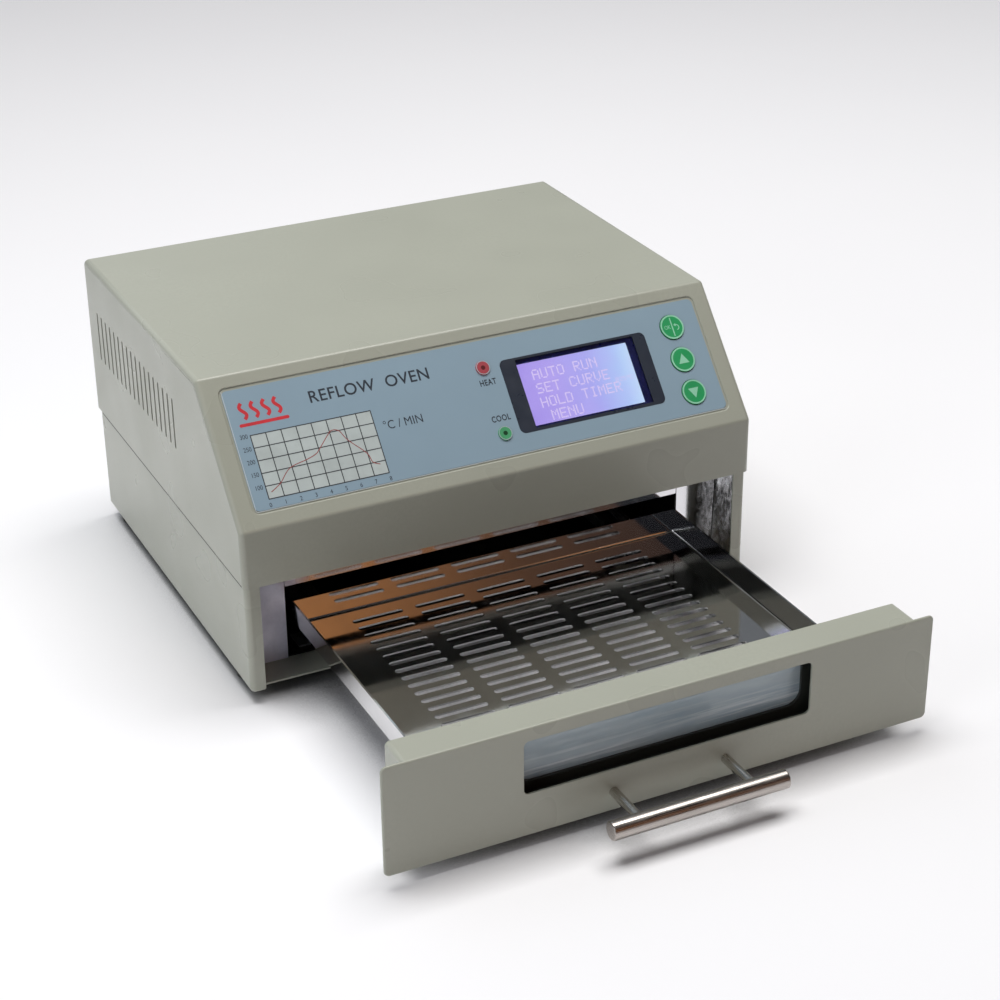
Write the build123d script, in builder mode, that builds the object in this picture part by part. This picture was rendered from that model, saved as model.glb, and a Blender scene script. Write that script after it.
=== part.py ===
from build123d import *
import os
from math import sin, cos, tan, radians

# Bench-top infrared reflow oven with a drawer, millimetres, +Z up.
# Lengths below are written in body coordinates: x from the middle plane,
# y from the vertical front strip of the cover towards the back, z from the
# underside of the base.  FY and FOOT_H carry them to the model frame, whose
# origin is the middle of the footprint (drawer open) on the resting surface.

os.makedirs("parts", exist_ok=True)

# ---- overall ---------------------------------------------------------------
BODY_W = 310.0          # width of the cover
BODY_D = 256.0          # depth of the cover
BODY_H = 163.0          # height of the body without its feet
FOOT_H = 7.0
SHEET = 1.2             # cover sheet
BASE_SHEET = 1.0
BEND_R = 3.2            # outer bend radius of the cover
DRAWER_OPEN = 179.0     # drawer travel

# ---- cover -----------------------------------------------------------------
STRIP_Z = 65.0          # lower edge of the front strip
NOSE_Z = 98.2           # strip meets the sloping console
SLOPE = 48.41           # console angle from horizontal
CHEEK_Z = 66.5          # lower edge of the side cheeks
CONSOLE_Y = (BODY_H - NOSE_Z) / tan(radians(SLOPE))
VENT_N, VENT_PITCH, VENT_Y0 = 18, 8.12, 99.9
VENT_Z0, VENT_Z1, VENT_W = 105.0, 135.5, 2.2
POCKET_DEPTH = 0.7

# ---- base ------------------------------------------------------------------
BASE_X = 153.8          # half width of the base
BASE_Y0, BASE_Y1 = 1.2, 253.8
BASE_WALL_Z = 78.0
LEG_X = 145.5           # inner edge of the front legs
FLOOR_Y0 = 7.5         # front edge of the floor between the legs

# ---- chamber ---------------------------------------------------------------
PLATE_Y = 26.8
OPEN_X, OPEN_Z = 122.4, 46.0
LINER_Y1, LINER_Z0, LINER_Z1 = 212.0, 1.4, 84.0
LINER_T = 0.8
SHELF_Z = 100.0

# ---- drawer ----------------------------------------------------------------
FRONT_Y = -180.3        # outer face of the drawer front, drawer open
FRONT_Z0, FRONT_Z1 = -0.2, 61.6
FRONT_T = 1.2
BOX_X, BOX_Z0, BOX_DEPTH = 144.2, 15.5, 20.0
WIN_X, WIN_Z0, WIN_Z1 = 81.2, 23.8, 54.1
TRAY_X, TRAY_TOP_X = 119.4, 120.2          # outside, at the floor and the rim
TRAY_Y0, TRAY_Y1 = -160.3, 24.4
TRAY_Z0, TRAY_Z1, TRAY_T = 22.5, 37.8, 1.0
SLOT_L, SLOT_W, SLOT_PITCH_X, SLOT_PITCH_Y = 30.0, 3.8, 37.7, 8.29
SLOT_ROWS, SLOT_Y_LAST = 20, 10.3
HANDLE_Y, HANDLE_Z, HANDLE_D, HANDLE_L = -209.2, 11.1, 10.0, 99.0
POST_X, POST_D = 32.0, 5.2

# ---- slides ----------------------------------------------------------------
SLIDE_X = 100.0
OUTER_Y0, OUTER_Y1 = 22.0, 205.0
MIDDLE_Y0, MIDDLE_Y1 = -67.0, 113.0
INNER_Y0, INNER_Y1 = -156.0, 21.5

# ---- rear ------------------------------------------------------------------
PANEL_T = 1.0
REAR_FACE = BASE_Y1 + PANEL_T            # outer face of the back panel
REAR_MOST = 258.6                        # face of the fuse drawer
FAN_X, FAN_Z, FAN_SIZE, FAN_DEPTH = 70.0, 48.0, 60.0, 25.0
INLET_X, INLET_Z = -95.0, 50.0
SWITCH_X, SWITCH_Z, SWITCH_PIVOT = -48.0, 50.0, 250.5
ROCKER_TILT = 9.0

FY = -(REAR_MOST + HANDLE_Y - HANDLE_D / 2) / 2


# ---- planes and small helpers ----------------------------------------------
def at(x, y, z):
    return (x, y + FY, z + FOOT_H)


def front(y):
    """Upright plane facing the front, local axes (x, z)."""
    return Plane(origin=at(0, y, 0), x_dir=(1, 0, 0), z_dir=(0, -1, 0))


def level(z):
    """Level plane, local axes (x, y)."""
    return Plane(origin=at(0, 0, z), x_dir=(1, 0, 0), z_dir=(0, 0, 1))


def side(x):
    """Upright plane facing +X, local axes (y, z)."""
    return Plane(origin=at(x, 0, 0), x_dir=(0, 1, 0), z_dir=(1, 0, 0))


NORMAL = (0.0, -sin(radians(SLOPE)), cos(radians(SLOPE)))


def console(n):
    """Plane of the sloping console, n above its outer face, axes (x, s)."""
    ox, oy, oz = at(0, 0, NOSE_Z)
    return Plane(origin=(ox, oy + n * NORMAL[1], oz + n * NORMAL[2]),
                 x_dir=(1, 0, 0), z_dir=NORMAL)


def block(x0, x1, y0, y1, z0, z1, mode=Mode.ADD):
    with Locations(at((x0 + x1) / 2, (y0 + y1) / 2, (z0 + z1) / 2)):
        Box(x1 - x0, y1 - y0, z1 - z0, mode=mode)


def rect(x0, x1, s0, s1, r=0.0, mode=Mode.ADD):
    with Locations(((x0 + x1) / 2, (s0 + s1) / 2)):
        if r > 0:
            RectangleRounded(x1 - x0, s1 - s0, r, mode=mode)
        else:
            Rectangle(x1 - x0, s1 - s0, mode=mode)


def rod(x, y, z, radius, length, axis, mode=Mode.ADD):
    """Cylinder centred on a point along X, Y or Z."""
    turn = {"X": (0, 90, 0), "Y": (90, 0, 0), "Z": (0, 0, 0)}[axis]
    with Locations(Location(at(x, y, z), turn)):
        Cylinder(radius, length, mode=mode)


NODES = []


def keep(builder, name):
    builder.part.label = name
    NODES.append(name)
    export_step(builder.part, "parts/" + name + ".step")


# =============================================================================
# top cover
# =============================================================================
dy, dz = SHEET * sin(radians(SLOPE)), SHEET * cos(radians(SLOPE))
grade = tan(radians(SLOPE))
inner_nose_z = NOSE_Z - dz + (SHEET - dy) * grade
inner_top_y = dy + (BODY_H - SHEET - (NOSE_Z - dz)) / grade

with BuildPart() as cover_core:
    with BuildSketch(side(-BODY_W / 2 + SHEET)):
        with BuildLine():
            Polyline((SHEET, STRIP_Z - 5), (SHEET, inner_nose_z),
                     (inner_top_y, BODY_H - SHEET),
                     (BODY_D - SHEET, BODY_H - SHEET),
                     (BODY_D - SHEET, STRIP_Z - 5), close=True)
        make_face()
    extrude(amount=BODY_W - 2 * SHEET)
    lo = cover_core.part.bounding_box().min.Z + 0.1
    hi = cover_core.part.bounding_box().max.Y - 0.1
    fillet([e for e in cover_core.edges()
            if e.center().Z > lo and e.center().Y < hi], BEND_R - SHEET)

with BuildPart() as top_cover:
    with BuildSketch(side(-BODY_W / 2)):
        with BuildLine():
            Polyline((0, STRIP_Z), (0, NOSE_Z), (CONSOLE_Y, BODY_H),
                     (BODY_D, BODY_H), (BODY_D, STRIP_Z), close=True)
        make_face()
    extrude(amount=BODY_W)
    lo = top_cover.part.bounding_box().min.Z + 0.1
    hi = top_cover.part.bounding_box().max.Y - 0.1
    fillet([e for e in top_cover.edges()
            if e.center().Z > lo and e.center().Y < hi], BEND_R)
    add(cover_core.part, mode=Mode.SUBTRACT)
    # rear opening inside the return flange
    block(-143.8, 143.8, BODY_D - 3, BODY_D + 3, STRIP_Z - 1, 151.8,
          mode=Mode.SUBTRACT)
    # the cheeks stop a little above the strip
    for sx in (-1, 1):
        block(min(sx * 150, sx * 156), max(sx * 150, sx * 156), SHEET + 1.2,
              BODY_D + 1, STRIP_Z - 1, CHEEK_Z, mode=Mode.SUBTRACT)
    # return lip under the front strip
    block(-144.6, 144.6, SHEET, 8.5, STRIP_Z, STRIP_Z + 1.0)
    # pressed pocket for the overlay
    with BuildSketch(console(0)):
        rect(-144.3, 144.3, 8.5, 79.0, r=4.0)
    extrude(amount=-POCKET_DEPTH, mode=Mode.SUBTRACT)
    # the rim of the pressing is rounded over
    nose = Vector(*at(0, 0, NOSE_Z))
    along = Vector(0, cos(radians(SLOPE)), sin(radians(SLOPE)))
    rim = [e for e in top_cover.edges()
           if abs((e.center() - nose).dot(Vector(*NORMAL))) < 0.02
           and 7.0 < (e.center() - nose).dot(along) < 80.5
           and abs(e.center().X) < 146]
    fillet(rim, 0.6)
    # display, key and lamp openings
    with BuildSketch(console(0)):
        rect(17.5, 104.8, 21.6, 62.9, r=1.5)
        with Locations((125.6, 62.7), (125.6, 42.7), (125.6, 22.7)):
            Circle(7.8)
        with Locations((5.2, 61.6), (6.0, 22.7)):
            Circle(3.0)
    extrude(amount=-3.0, mode=Mode.SUBTRACT)
    # side vents
    with BuildSketch(side(-BODY_W / 2 - 1)):
        for i in range(VENT_N):
            with Locations((VENT_Y0 + i * VENT_PITCH, (VENT_Z0 + VENT_Z1) / 2)):
                SlotOverall(VENT_Z1 - VENT_Z0, VENT_W, rotation=90)
    extrude(amount=BODY_W + 2, mode=Mode.SUBTRACT)
    # holes for the rear screws
    COVER_SCREWS = [(-120, 157), (0, 157), (120, 157),
                    (-149, 92), (-149, 130), (149, 92), (149, 130)]
    for sx, sz in COVER_SCREWS:
        rod(sx, BODY_D, sz, 1.55, 8, "Y", mode=Mode.SUBTRACT)
keep(top_cover, "top_cover")

# =============================================================================
# base
# =============================================================================
with BuildPart() as base_core:
    block(-BASE_X + BASE_SHEET, BASE_X - BASE_SHEET, BASE_Y0 + BASE_SHEET,
          BASE_Y1 - BASE_SHEET, BASE_SHEET, BASE_WALL_Z + 5)
    lo = base_core.part.bounding_box()
    fillet([e for e in base_core.edges()
            if (e.center().Y < lo.min.Y + 0.1 and e.center().Z < lo.max.Z - 0.1)
            or (e.center().Z < lo.min.Z + 0.1 and e.center().Y < lo.max.Y - 0.1)],
           2.2)

FEET = [(-143, 34), (143, 34), (-143, 241), (143, 241)]
BASE_SCREWS = [(-120, 8), (-20, 8), (20, 8), (125, 8)]
with BuildPart() as base_shell:
    block(-BASE_X, BASE_X, BASE_Y0, BASE_Y1, 0, BASE_WALL_Z)
    lo = base_shell.part.bounding_box()
    fillet([e for e in base_shell.edges()
            if (e.center().Y < lo.min.Y + 0.1 and e.center().Z < lo.max.Z - 0.1)
            or (e.center().Z < lo.min.Z + 0.1 and e.center().Y < lo.max.Y - 0.1)],
           3.2)
    add(base_core.part, mode=Mode.SUBTRACT)
    # front opening between the legs
    block(-LEG_X, LEG_X, -2, FLOOR_Y0, -2, BASE_WALL_Z + 2, mode=Mode.SUBTRACT)
    # low rear flange only
    block(-BASE_X + BASE_SHEET, BASE_X - BASE_SHEET, BASE_Y1 - 2, BASE_Y1 + 1,
          14, BASE_WALL_Z + 2, mode=Mode.SUBTRACT)
    for fx, fy in FEET:
        rod(fx, fy, 0, 1.7, 8, "Z", mode=Mode.SUBTRACT)
    for sx, sz in BASE_SCREWS:
        rod(sx, BASE_Y1, sz, 1.55, 8, "Y", mode=Mode.SUBTRACT)
keep(base_shell, "base_shell")

with BuildPart() as rubber_feet:
    for fx, fy in FEET:
        with BuildSketch(level(-FOOT_H)):
            with Locations((fx, fy)):
                Circle(7.0)
        extrude(amount=FOOT_H, taper=-8)
        with BuildSketch(level(-FOOT_H)):
            with Locations((fx, fy)):
                Circle(3.9)
        extrude(amount=3.0, mode=Mode.SUBTRACT)
        rod(fx, fy, -2, 1.7, 8, "Z", mode=Mode.SUBTRACT)
keep(rubber_feet, "rubber_feet")

with BuildPart() as foot_screws:
    for fx, fy in FEET:
        rod(fx, fy, -5.1, 3.2, 2.2, "Z")          # head in the counterbore
        rod(fx, fy, 0.0, 1.5, 8.0, "Z")           # shank
        with BuildSketch(level(-6.2)):
            with Locations((fx, fy)):
                Rectangle(3.6, 0.8)
                Rectangle(0.8, 3.6)
        extrude(amount=1.0, mode=Mode.SUBTRACT)
        with BuildSketch(level(1.0)):             # nut on the floor
            with Locations((fx, fy)):
                RegularPolygon(3.1, 6)
                Circle(1.5, mode=Mode.SUBTRACT)
        extrude(amount=2.2)
keep(foot_screws, "foot_screws")

# =============================================================================
# back panel and its screws
# =============================================================================
INLET_CUT = (27.4, 30.0)
SWITCH_CUT = (13.6, 21.0)
with BuildPart() as back_panel:
    with BuildSketch(front(REAR_FACE)):
        rect(-153.4, 153.4, 1.5, 161.4, r=2.0)
        with Locations((FAN_X, FAN_Z)):
            Circle(28.0, mode=Mode.SUBTRACT)
        for ex in (-1, 1):
            for ez in (-1, 1):
                with Locations((FAN_X + ex * 25, FAN_Z + ez * 25)):
                    Circle(2.0, mode=Mode.SUBTRACT)
        with Locations((INLET_X, INLET_Z)):
            Rectangle(*INLET_CUT, mode=Mode.SUBTRACT)
        with Locations((SWITCH_X, SWITCH_Z)):
            Rectangle(*SWITCH_CUT, mode=Mode.SUBTRACT)
        for sx, sz in COVER_SCREWS + BASE_SCREWS:
            with Locations((sx, sz)):
                Circle(1.55, mode=Mode.SUBTRACT)
        # louvre slots for the electronics bay
        for i in range(12):
            with Locations((-60 + i * 8.0, 122)):
                SlotOverall(26, 2.4, rotation=90, mode=Mode.SUBTRACT)
    extrude(amount=PANEL_T)
keep(back_panel, "back_panel")

with BuildPart() as cover_screws:
    for sx, sz in COVER_SCREWS:
        rod(sx, BODY_D + 0.9, sz, 2.8, 1.8, "Y")
        rod(sx, BODY_D - 3.5, sz, 1.45, 7.0, "Y")
        with BuildSketch(front(BODY_D + 2)):
            with Locations((sx, sz)):
                Rectangle(3.4, 0.8)
                Rectangle(0.8, 3.4)
        extrude(amount=1.1, mode=Mode.SUBTRACT)
    for sx, sz in BASE_SCREWS:
        rod(sx, REAR_FACE + 0.9, sz, 2.8, 1.8, "Y")
        rod(sx, REAR_FACE - 3.0, sz, 1.45, 6.0, "Y")
        with BuildSketch(front(REAR_FACE + 2)):
            with Locations((sx, sz)):
                Rectangle(3.4, 0.8)
                Rectangle(0.8, 3.4)
        extrude(amount=1.1, mode=Mode.SUBTRACT)
keep(cover_screws, "cover_screws")

# =============================================================================
# heating chamber
# =============================================================================
with BuildPart() as chamber_front_plate:
    block(-150, -OPEN_X - 0.5, PLATE_Y, PLATE_Y + 0.8, 1.3, 92)
    block(OPEN_X + 0.5, 150, PLATE_Y, PLATE_Y + 0.8, 1.3, 92)
    block(-OPEN_X, OPEN_X, PLATE_Y, PLATE_Y + 0.8, OPEN_Z, 92)
keep(chamber_front_plate, "chamber_front_plate")

LINER_OUT = OPEN_X + LINER_T
with BuildPart() as chamber_liner:
    block(-LINER_OUT, LINER_OUT, PLATE_Y + 0.8, LINER_Y1 + LINER_T, LINER_Z0,
          LINER_Z1 + LINER_T)
    block(-OPEN_X, OPEN_X, PLATE_Y, LINER_Y1, LINER_Z0 + LINER_T, LINER_Z1,
          mode=Mode.SUBTRACT)
    rod(FAN_X, LINER_Y1, FAN_Z, 26, 10, "Y", mode=Mode.SUBTRACT)
keep(chamber_liner, "chamber_liner")

with BuildPart() as insulation_blanket:
    block(-135, 135, 28.2, LINER_Y1, LINER_Z0, 96.8)
    block(-LINER_OUT, LINER_OUT, 20, 220, 0, LINER_Z1 + LINER_T,
          mode=Mode.SUBTRACT)
keep(insulation_blanket, "insulation_blanket")

with BuildPart() as chamber_case:
    block(-135.8, 135.8, 28.2, LINER_Y1, LINER_Z0, 97.6)
    block(-135, 135, 20, 220, 0, 96.8, mode=Mode.SUBTRACT)
    for sx in (-1, 1):           # feet folded out on the floor
        block(min(sx * 135, sx * 145), max(sx * 135, sx * 145), 50, LINER_Y1,
              1.0, 1.8)
keep(chamber_case, "chamber_case")

for name, sx in (("side_foil_left", -1), ("side_foil_right", 1)):
    with BuildPart() as side_foil:
        # thin foil pressed on the wall between the leg and the front plate,
        # with shallow upright folds
        with BuildSketch(level(3.4)):
            with BuildLine():
                pts = [(4.8, 151.6), (7, 151.0), (10, 151.9), (13, 150.9),
                       (17, 151.8), (21, 151.1), (26.4, 151.9)]
                back = [(y, x + 0.5) for y, x in reversed(pts)]
                Polyline(*[(sx * x, y) for y, x in pts + back], close=True)
            make_face()
        extrude(amount=86)
    keep(side_foil, name)

HEATER_Y = [60.0, 100.0, 140.0, 180.0]
HEATER_Z = 68.0
with BuildPart() as heater_tubes:
    for hy in HEATER_Y:
        rod(0, hy, HEATER_Z, 5.0, 216, "X")
        rod(0, hy, HEATER_Z, 4.0, 216, "X", mode=Mode.SUBTRACT)
keep(heater_tubes, "heater_tubes")

with BuildPart() as heater_coils:
    for hy in HEATER_Y:
        rod(0, hy, HEATER_Z, 1.6, 228, "X")
        for i in range(-12, 13):                  # open-wound coil packets
            rod(i * 8.2, hy, HEATER_Z, 3.2, 5.0, "X")
keep(heater_coils, "heater_coils")

with BuildPart() as heater_end_caps:
    for hy in HEATER_Y:
        for sx in (-1, 1):
            rod(sx * 111.0, hy, HEATER_Z, 7.0, 18, "X")
            rod(sx * 104.0, hy, HEATER_Z, 5.05, 8, "X", mode=Mode.SUBTRACT)
            rod(sx * 112.0, hy, HEATER_Z, 1.8, 24, "X", mode=Mode.SUBTRACT)
keep(heater_end_caps, "heater_end_caps")

with BuildPart() as heater_brackets:
    for sx in (-1, 1):
        block(min(sx * 120, sx * 121.2), max(sx * 120, sx * 121.2), 46, 194, 58,
              84)
        block(min(sx * 110, sx * 120), max(sx * 110, sx * 120), 46, 194, 83, 84)
keep(heater_brackets, "heater_brackets")

with BuildPart() as reflector:
    with BuildSketch(side(-109)):
        with BuildLine():
            crest = []
            for hy in HEATER_Y:
                crest += [(hy - 18, 76.0), (hy - 10, 80.5), (hy + 10, 80.5),
                          (hy + 18, 76.0)]
            under = [(y, z - 0.6) for y, z in reversed(crest)]
            Polyline(*(crest + under), close=True)
        make_face()
    extrude(amount=218)
keep(reflector, "reflector")

with BuildPart() as thermocouples:
    for sx in (-1, 1):
        rod(sx * 101, 120, 50, 1.5, 42.8, "X")
        rod(sx * 119.9, 120, 50, 3.5, 5.0, "X")
keep(thermocouples, "thermocouples")

with BuildPart() as exhaust_duct:
    hs = FAN_SIZE / 2
    block(FAN_X - hs, FAN_X + hs, LINER_Y1 + LINER_T, BASE_Y1 - FAN_DEPTH,
          FAN_Z - hs, FAN_Z + hs)
    block(FAN_X - hs + 1, FAN_X + hs - 1, LINER_Y1, BASE_Y1 - FAN_DEPTH + 1,
          FAN_Z - hs + 1, FAN_Z + hs - 1, mode=Mode.SUBTRACT)
keep(exhaust_duct, "exhaust_duct")

# =============================================================================
# drawer front
# =============================================================================
with BuildPart() as drawer_front:
    # face plate
    with BuildSketch(front(FRONT_Y + FRONT_T)):
        rect(-BODY_W / 2, BODY_W / 2, FRONT_Z0, FRONT_Z1, r=3.2)
    extrude(amount=FRONT_T)
    # return flanges making a shallow box behind it
    box_y1 = FRONT_Y + BOX_DEPTH
    block(-BOX_X, BOX_X, FRONT_Y + FRONT_T, box_y1, BOX_Z0, FRONT_Z1)
    # soft bend where the face turns into the top flange
    bend = [e for e in drawer_front.edges().filter_by(Axis.X)
            if e.center().Y < FRONT_Y + FY + 0.2
            and e.center().Z > FRONT_Z1 + FOOT_H - 0.2]
    fillet(bend, 1.1)
    ends = [e for e in drawer_front.edges().filter_by(Axis.Y)
            if abs(abs(e.center().X) - BOX_X) < 0.2
            and e.center().Z > FRONT_Z1 + FOOT_H - 0.2
            and e.center().Y > FRONT_Y + FRONT_T + FY + 1]
    fillet(ends, 2.4)
    block(-BOX_X + FRONT_T, BOX_X - FRONT_T, FRONT_Y + FRONT_T, box_y1 + 1,
          BOX_Z0 + FRONT_T, FRONT_Z1 - FRONT_T, mode=Mode.SUBTRACT)
    with BuildSketch(front(FRONT_Y + 5)):
        rect(-WIN_X, WIN_X, WIN_Z0, WIN_Z1, r=3.0)
    extrude(amount=10, mode=Mode.SUBTRACT)
    for sx in (-1, 1):
        rod(sx * POST_X, FRONT_Y, HANDLE_Z, 2.1, 8, "Y", mode=Mode.SUBTRACT)
keep(drawer_front, "drawer_front")

FRAME_X, FRAME_Z0, FRAME_Z1 = 89.0, 18.4, 59.2
with BuildPart() as window_frame:
    # black frame: a skirt off the back of the face plate and an inner ring
    with BuildSketch(front(FRONT_Y + 9.3)):
        rect(-FRAME_X, FRAME_X, FRAME_Z0, FRAME_Z1, r=3.0)
    extrude(amount=9.3 - FRONT_T)
    with BuildSketch(front(FRONT_Y + 7.8)):
        rect(-FRAME_X + 1.4, FRAME_X - 1.4, FRAME_Z0 + 1.4, FRAME_Z1 - 1.4,
             r=1.8)
    extrude(amount=9.3, mode=Mode.SUBTRACT)
    with BuildSketch(front(FRONT_Y + 12)):
        rect(-81.0, 80.5, 25.6, 54.6, r=8.0)
    extrude(amount=9.3, mode=Mode.SUBTRACT)
keep(window_frame, "window_frame")

with BuildPart() as window_glass:
    with BuildSketch(front(FRONT_Y + 12.3)):
        rect(-FRAME_X, FRAME_X, FRAME_Z0, FRAME_Z1, r=3.0)
    extrude(amount=3.0)
keep(window_glass, "window_glass")

with BuildPart() as glass_retainer:
    with BuildSketch(front(box_y1 - 1.0)):
        rect(-FRAME_X, FRAME_X, FRAME_Z0, FRAME_Z1, r=3.0)
        rect(-FRAME_X + 1.2, FRAME_X - 1.2, FRAME_Z0 + 1.2, FRAME_Z1 - 1.2,
             r=2.0, mode=Mode.SUBTRACT)
    extrude(amount=BOX_DEPTH - 1.0 - 12.3)
keep(glass_retainer, "glass_retainer")

TRAY_SCREWS = [(-104, 30), (-40, 30), (40, 30), (104, 30)]
with BuildPart() as drawer_liner:
    with BuildSketch(front(box_y1)):
        rect(-BOX_X + FRONT_T, BOX_X - FRONT_T, BOX_Z0 + FRONT_T,
             FRONT_Z1 - FRONT_T)
        rect(-84, 84, 38.6, 56.0, r=5.0, mode=Mode.SUBTRACT)
        for sx, sz in TRAY_SCREWS:
            with Locations((sx, sz)):
                Circle(1.55, mode=Mode.SUBTRACT)
    extrude(amount=1.0)
keep(drawer_liner, "drawer_liner")

with BuildPart() as tray:
    # side walls lean out a little towards the rim
    with BuildSketch(front(TRAY_Y1)):
        with BuildLine():
            Polyline((-TRAY_X, TRAY_Z0), (TRAY_X, TRAY_Z0),
                     (TRAY_TOP_X, TRAY_Z1), (-TRAY_TOP_X, TRAY_Z1), close=True)
        make_face()
    extrude(amount=TRAY_Y1 - TRAY_Y0)
    lo = tray.part.bounding_box().min.Z + 0.1
    fillet([e for e in tray.edges() if e.center().Z < lo], 2.2)
    with BuildPart(mode=Mode.PRIVATE) as tray_core:
        with BuildSketch(front(TRAY_Y1 - TRAY_T)):
            with BuildLine():
                Polyline((-TRAY_X + TRAY_T, TRAY_Z0 + TRAY_T),
                         (TRAY_X - TRAY_T, TRAY_Z0 + TRAY_T),
                         (TRAY_TOP_X - TRAY_T + 0.28, TRAY_Z1 + 5),
                         (-TRAY_TOP_X + TRAY_T - 0.28, TRAY_Z1 + 5), close=True)
            make_face()
        extrude(amount=TRAY_Y1 - TRAY_Y0 - 2 * TRAY_T)
        lo = tray_core.part.bounding_box().min.Z + 0.1
        fillet([e for e in tray_core.edges() if e.center().Z < lo], 1.2)
    add(tray_core.part, mode=Mode.SUBTRACT)
    with BuildSketch(level(TRAY_Z0 - 1)):
        for i in range(SLOT_ROWS):
            for j in range(-2, 3):
                with Locations((j * SLOT_PITCH_X,
                                SLOT_Y_LAST - i * SLOT_PITCH_Y)):
                    SlotOverall(SLOT_L, SLOT_W)
    extrude(amount=4, mode=Mode.SUBTRACT)
    for sx, sz in TRAY_SCREWS:
        rod(sx, TRAY_Y0, sz, 1.55, 4, "Y", mode=Mode.SUBTRACT)
keep(tray, "tray")

with BuildPart() as tray_screws:
    for sx, sz in TRAY_SCREWS:
        rod(sx, TRAY_Y0 + TRAY_T + 0.8, sz, 2.8, 1.6, "Y")
        rod(sx, TRAY_Y0 - 1.0, sz, 1.45, 5.0, "Y")
        with BuildSketch(front(TRAY_Y0 + TRAY_T + 2)):
            with Locations((sx, sz)):
                Rectangle(3.4, 0.8)
                Rectangle(0.8, 3.4)
        extrude(amount=1.2, mode=Mode.SUBTRACT)
keep(tray_screws, "tray_screws")

with BuildPart() as handle_bar:
    rod(0, HANDLE_Y, HANDLE_Z, HANDLE_D / 2, HANDLE_L, "X")
    fillet(handle_bar.edges().filter_by(GeomType.CIRCLE), 0.8)
    for sx in (-1, 1):
        rod(sx * POST_X, HANDLE_Y + 4.0, HANDLE_Z, POST_D / 2, 4.0, "Y",
            mode=Mode.SUBTRACT)
keep(handle_bar, "handle_bar")

with BuildPart() as handle_posts:
    for sx in (-1, 1):
        y0, y1 = HANDLE_Y + 2.0, FRONT_Y
        rod(sx * POST_X, (y0 + y1) / 2, HANDLE_Z, POST_D / 2, y1 - y0, "Y")
        rod(sx * POST_X, FRONT_Y - 4.5, HANDLE_Z, 1.9, 9.2, "Y",
            mode=Mode.SUBTRACT)
keep(handle_posts, "handle_posts")

with BuildPart() as handle_screws:
    for sx in (-1, 1):
        rod(sx * POST_X, FRONT_Y + FRONT_T + 1.2, HANDLE_Z, 3.6, 2.4, "Y")
        rod(sx * POST_X, FRONT_Y - 3.0, HANDLE_Z, 1.8, 9.0, "Y")
        with BuildSketch(front(FRONT_Y + FRONT_T + 3)):
            with Locations((sx * POST_X, HANDLE_Z)):
                Rectangle(4.2, 0.9)
                Rectangle(0.9, 4.2)
        extrude(amount=1.6, mode=Mode.SUBTRACT)
keep(handle_screws, "handle_screws")

# =============================================================================
# telescopic slides under the tray
# =============================================================================
SLIDE_Z = 12.3
OUTER_P = [(-8.5, 0), (8.5, 0), (8.5, 7.0), (6.0, 7.0), (6.0, 6.0), (7.5, 6.0),
           (7.5, 1.0), (-7.5, 1.0), (-7.5, 6.0), (-6.0, 6.0), (-6.0, 7.0),
           (-8.5, 7.0)]
MIDDLE_P = [(-6.8, 1.5), (6.8, 1.5), (6.8, 5.5), (3.5, 5.5), (3.5, 4.6),
            (5.9, 4.6), (5.9, 2.5), (-5.9, 2.5), (-5.9, 4.6), (-3.5, 4.6),
            (-3.5, 5.5), (-6.8, 5.5)]
INNER_P = [(-5.4, 3.0), (5.4, 3.0), (5.4, 4.1), (3.0, 4.1), (3.0, 9.2),
           (6.0, 9.2), (6.0, 10.2), (-6.0, 10.2), (-6.0, 9.2), (-3.0, 9.2),
           (-3.0, 4.1), (-5.4, 4.1)]
for side_name, sx in (("left", -1), ("right", 1)):
    for member, profile, y0, y1 in (
            ("outer", OUTER_P, OUTER_Y0, OUTER_Y1),
            ("middle", MIDDLE_P, MIDDLE_Y0, MIDDLE_Y1),
            ("inner", INNER_P, INNER_Y0, INNER_Y1)):
        with BuildPart() as slide:
            with BuildSketch(front(y1)):
                with BuildLine():
                    Polyline(*[(sx * SLIDE_X + px, SLIDE_Z + pz)
                               for px, pz in profile], close=True)
                make_face()
            extrude(amount=y1 - y0)
        keep(slide, side_name + "_slide_" + member)

with BuildPart() as slide_brackets:
    for sx in (-1, 1):
        for by in (40.0, 190.0):
            x0, x1 = sorted((sx * (SLIDE_X - 8), sx * (SLIDE_X + 8)))
            # hat bracket: two feet, two webs and a bridge
            floor_z = LINER_Z0 + LINER_T
            block(x0, x1, by - 7, by + 7, SLIDE_Z - 1.0, SLIDE_Z)
            block(x0, x0 + 1, by - 7, by + 7, floor_z, SLIDE_Z)
            block(x1 - 1, x1, by - 7, by + 7, floor_z, SLIDE_Z)
            block(x0 - 6, x0 + 1, by - 7, by + 7, floor_z, floor_z + 1)
            block(x1 - 1, x1 + 6, by - 7, by + 7, floor_z, floor_z + 1)
keep(slide_brackets, "slide_brackets")

# =============================================================================
# console: overlay, display, lamps and keys
# =============================================================================
KEYS = [("button_ok", 62.7), ("button_up", 42.7), ("button_down", 22.7)]
KEY_X = 125.6
LAMPS = [("heat_led", 5.2, 61.6, 4.2), ("cool_led", 6.0, 22.7, 4.1)]

with BuildPart() as overlay_panel:
    with BuildSketch(console(-POCKET_DEPTH)):
        rect(-143, 143, 10.0, 77.4, r=3.0)
        rect(15.3, 107.0, 20.2, 63.7, r=3.5, mode=Mode.SUBTRACT)
        for _, s in KEYS:
            with Locations((KEY_X, s)):
                Circle(7.7, mode=Mode.SUBTRACT)
        for _, lx, ls, _ in LAMPS:
            with Locations((lx, ls)):
                Circle(2.7, mode=Mode.SUBTRACT)
    extrude(amount=0.4)
keep(overlay_panel, "overlay_panel")

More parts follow.
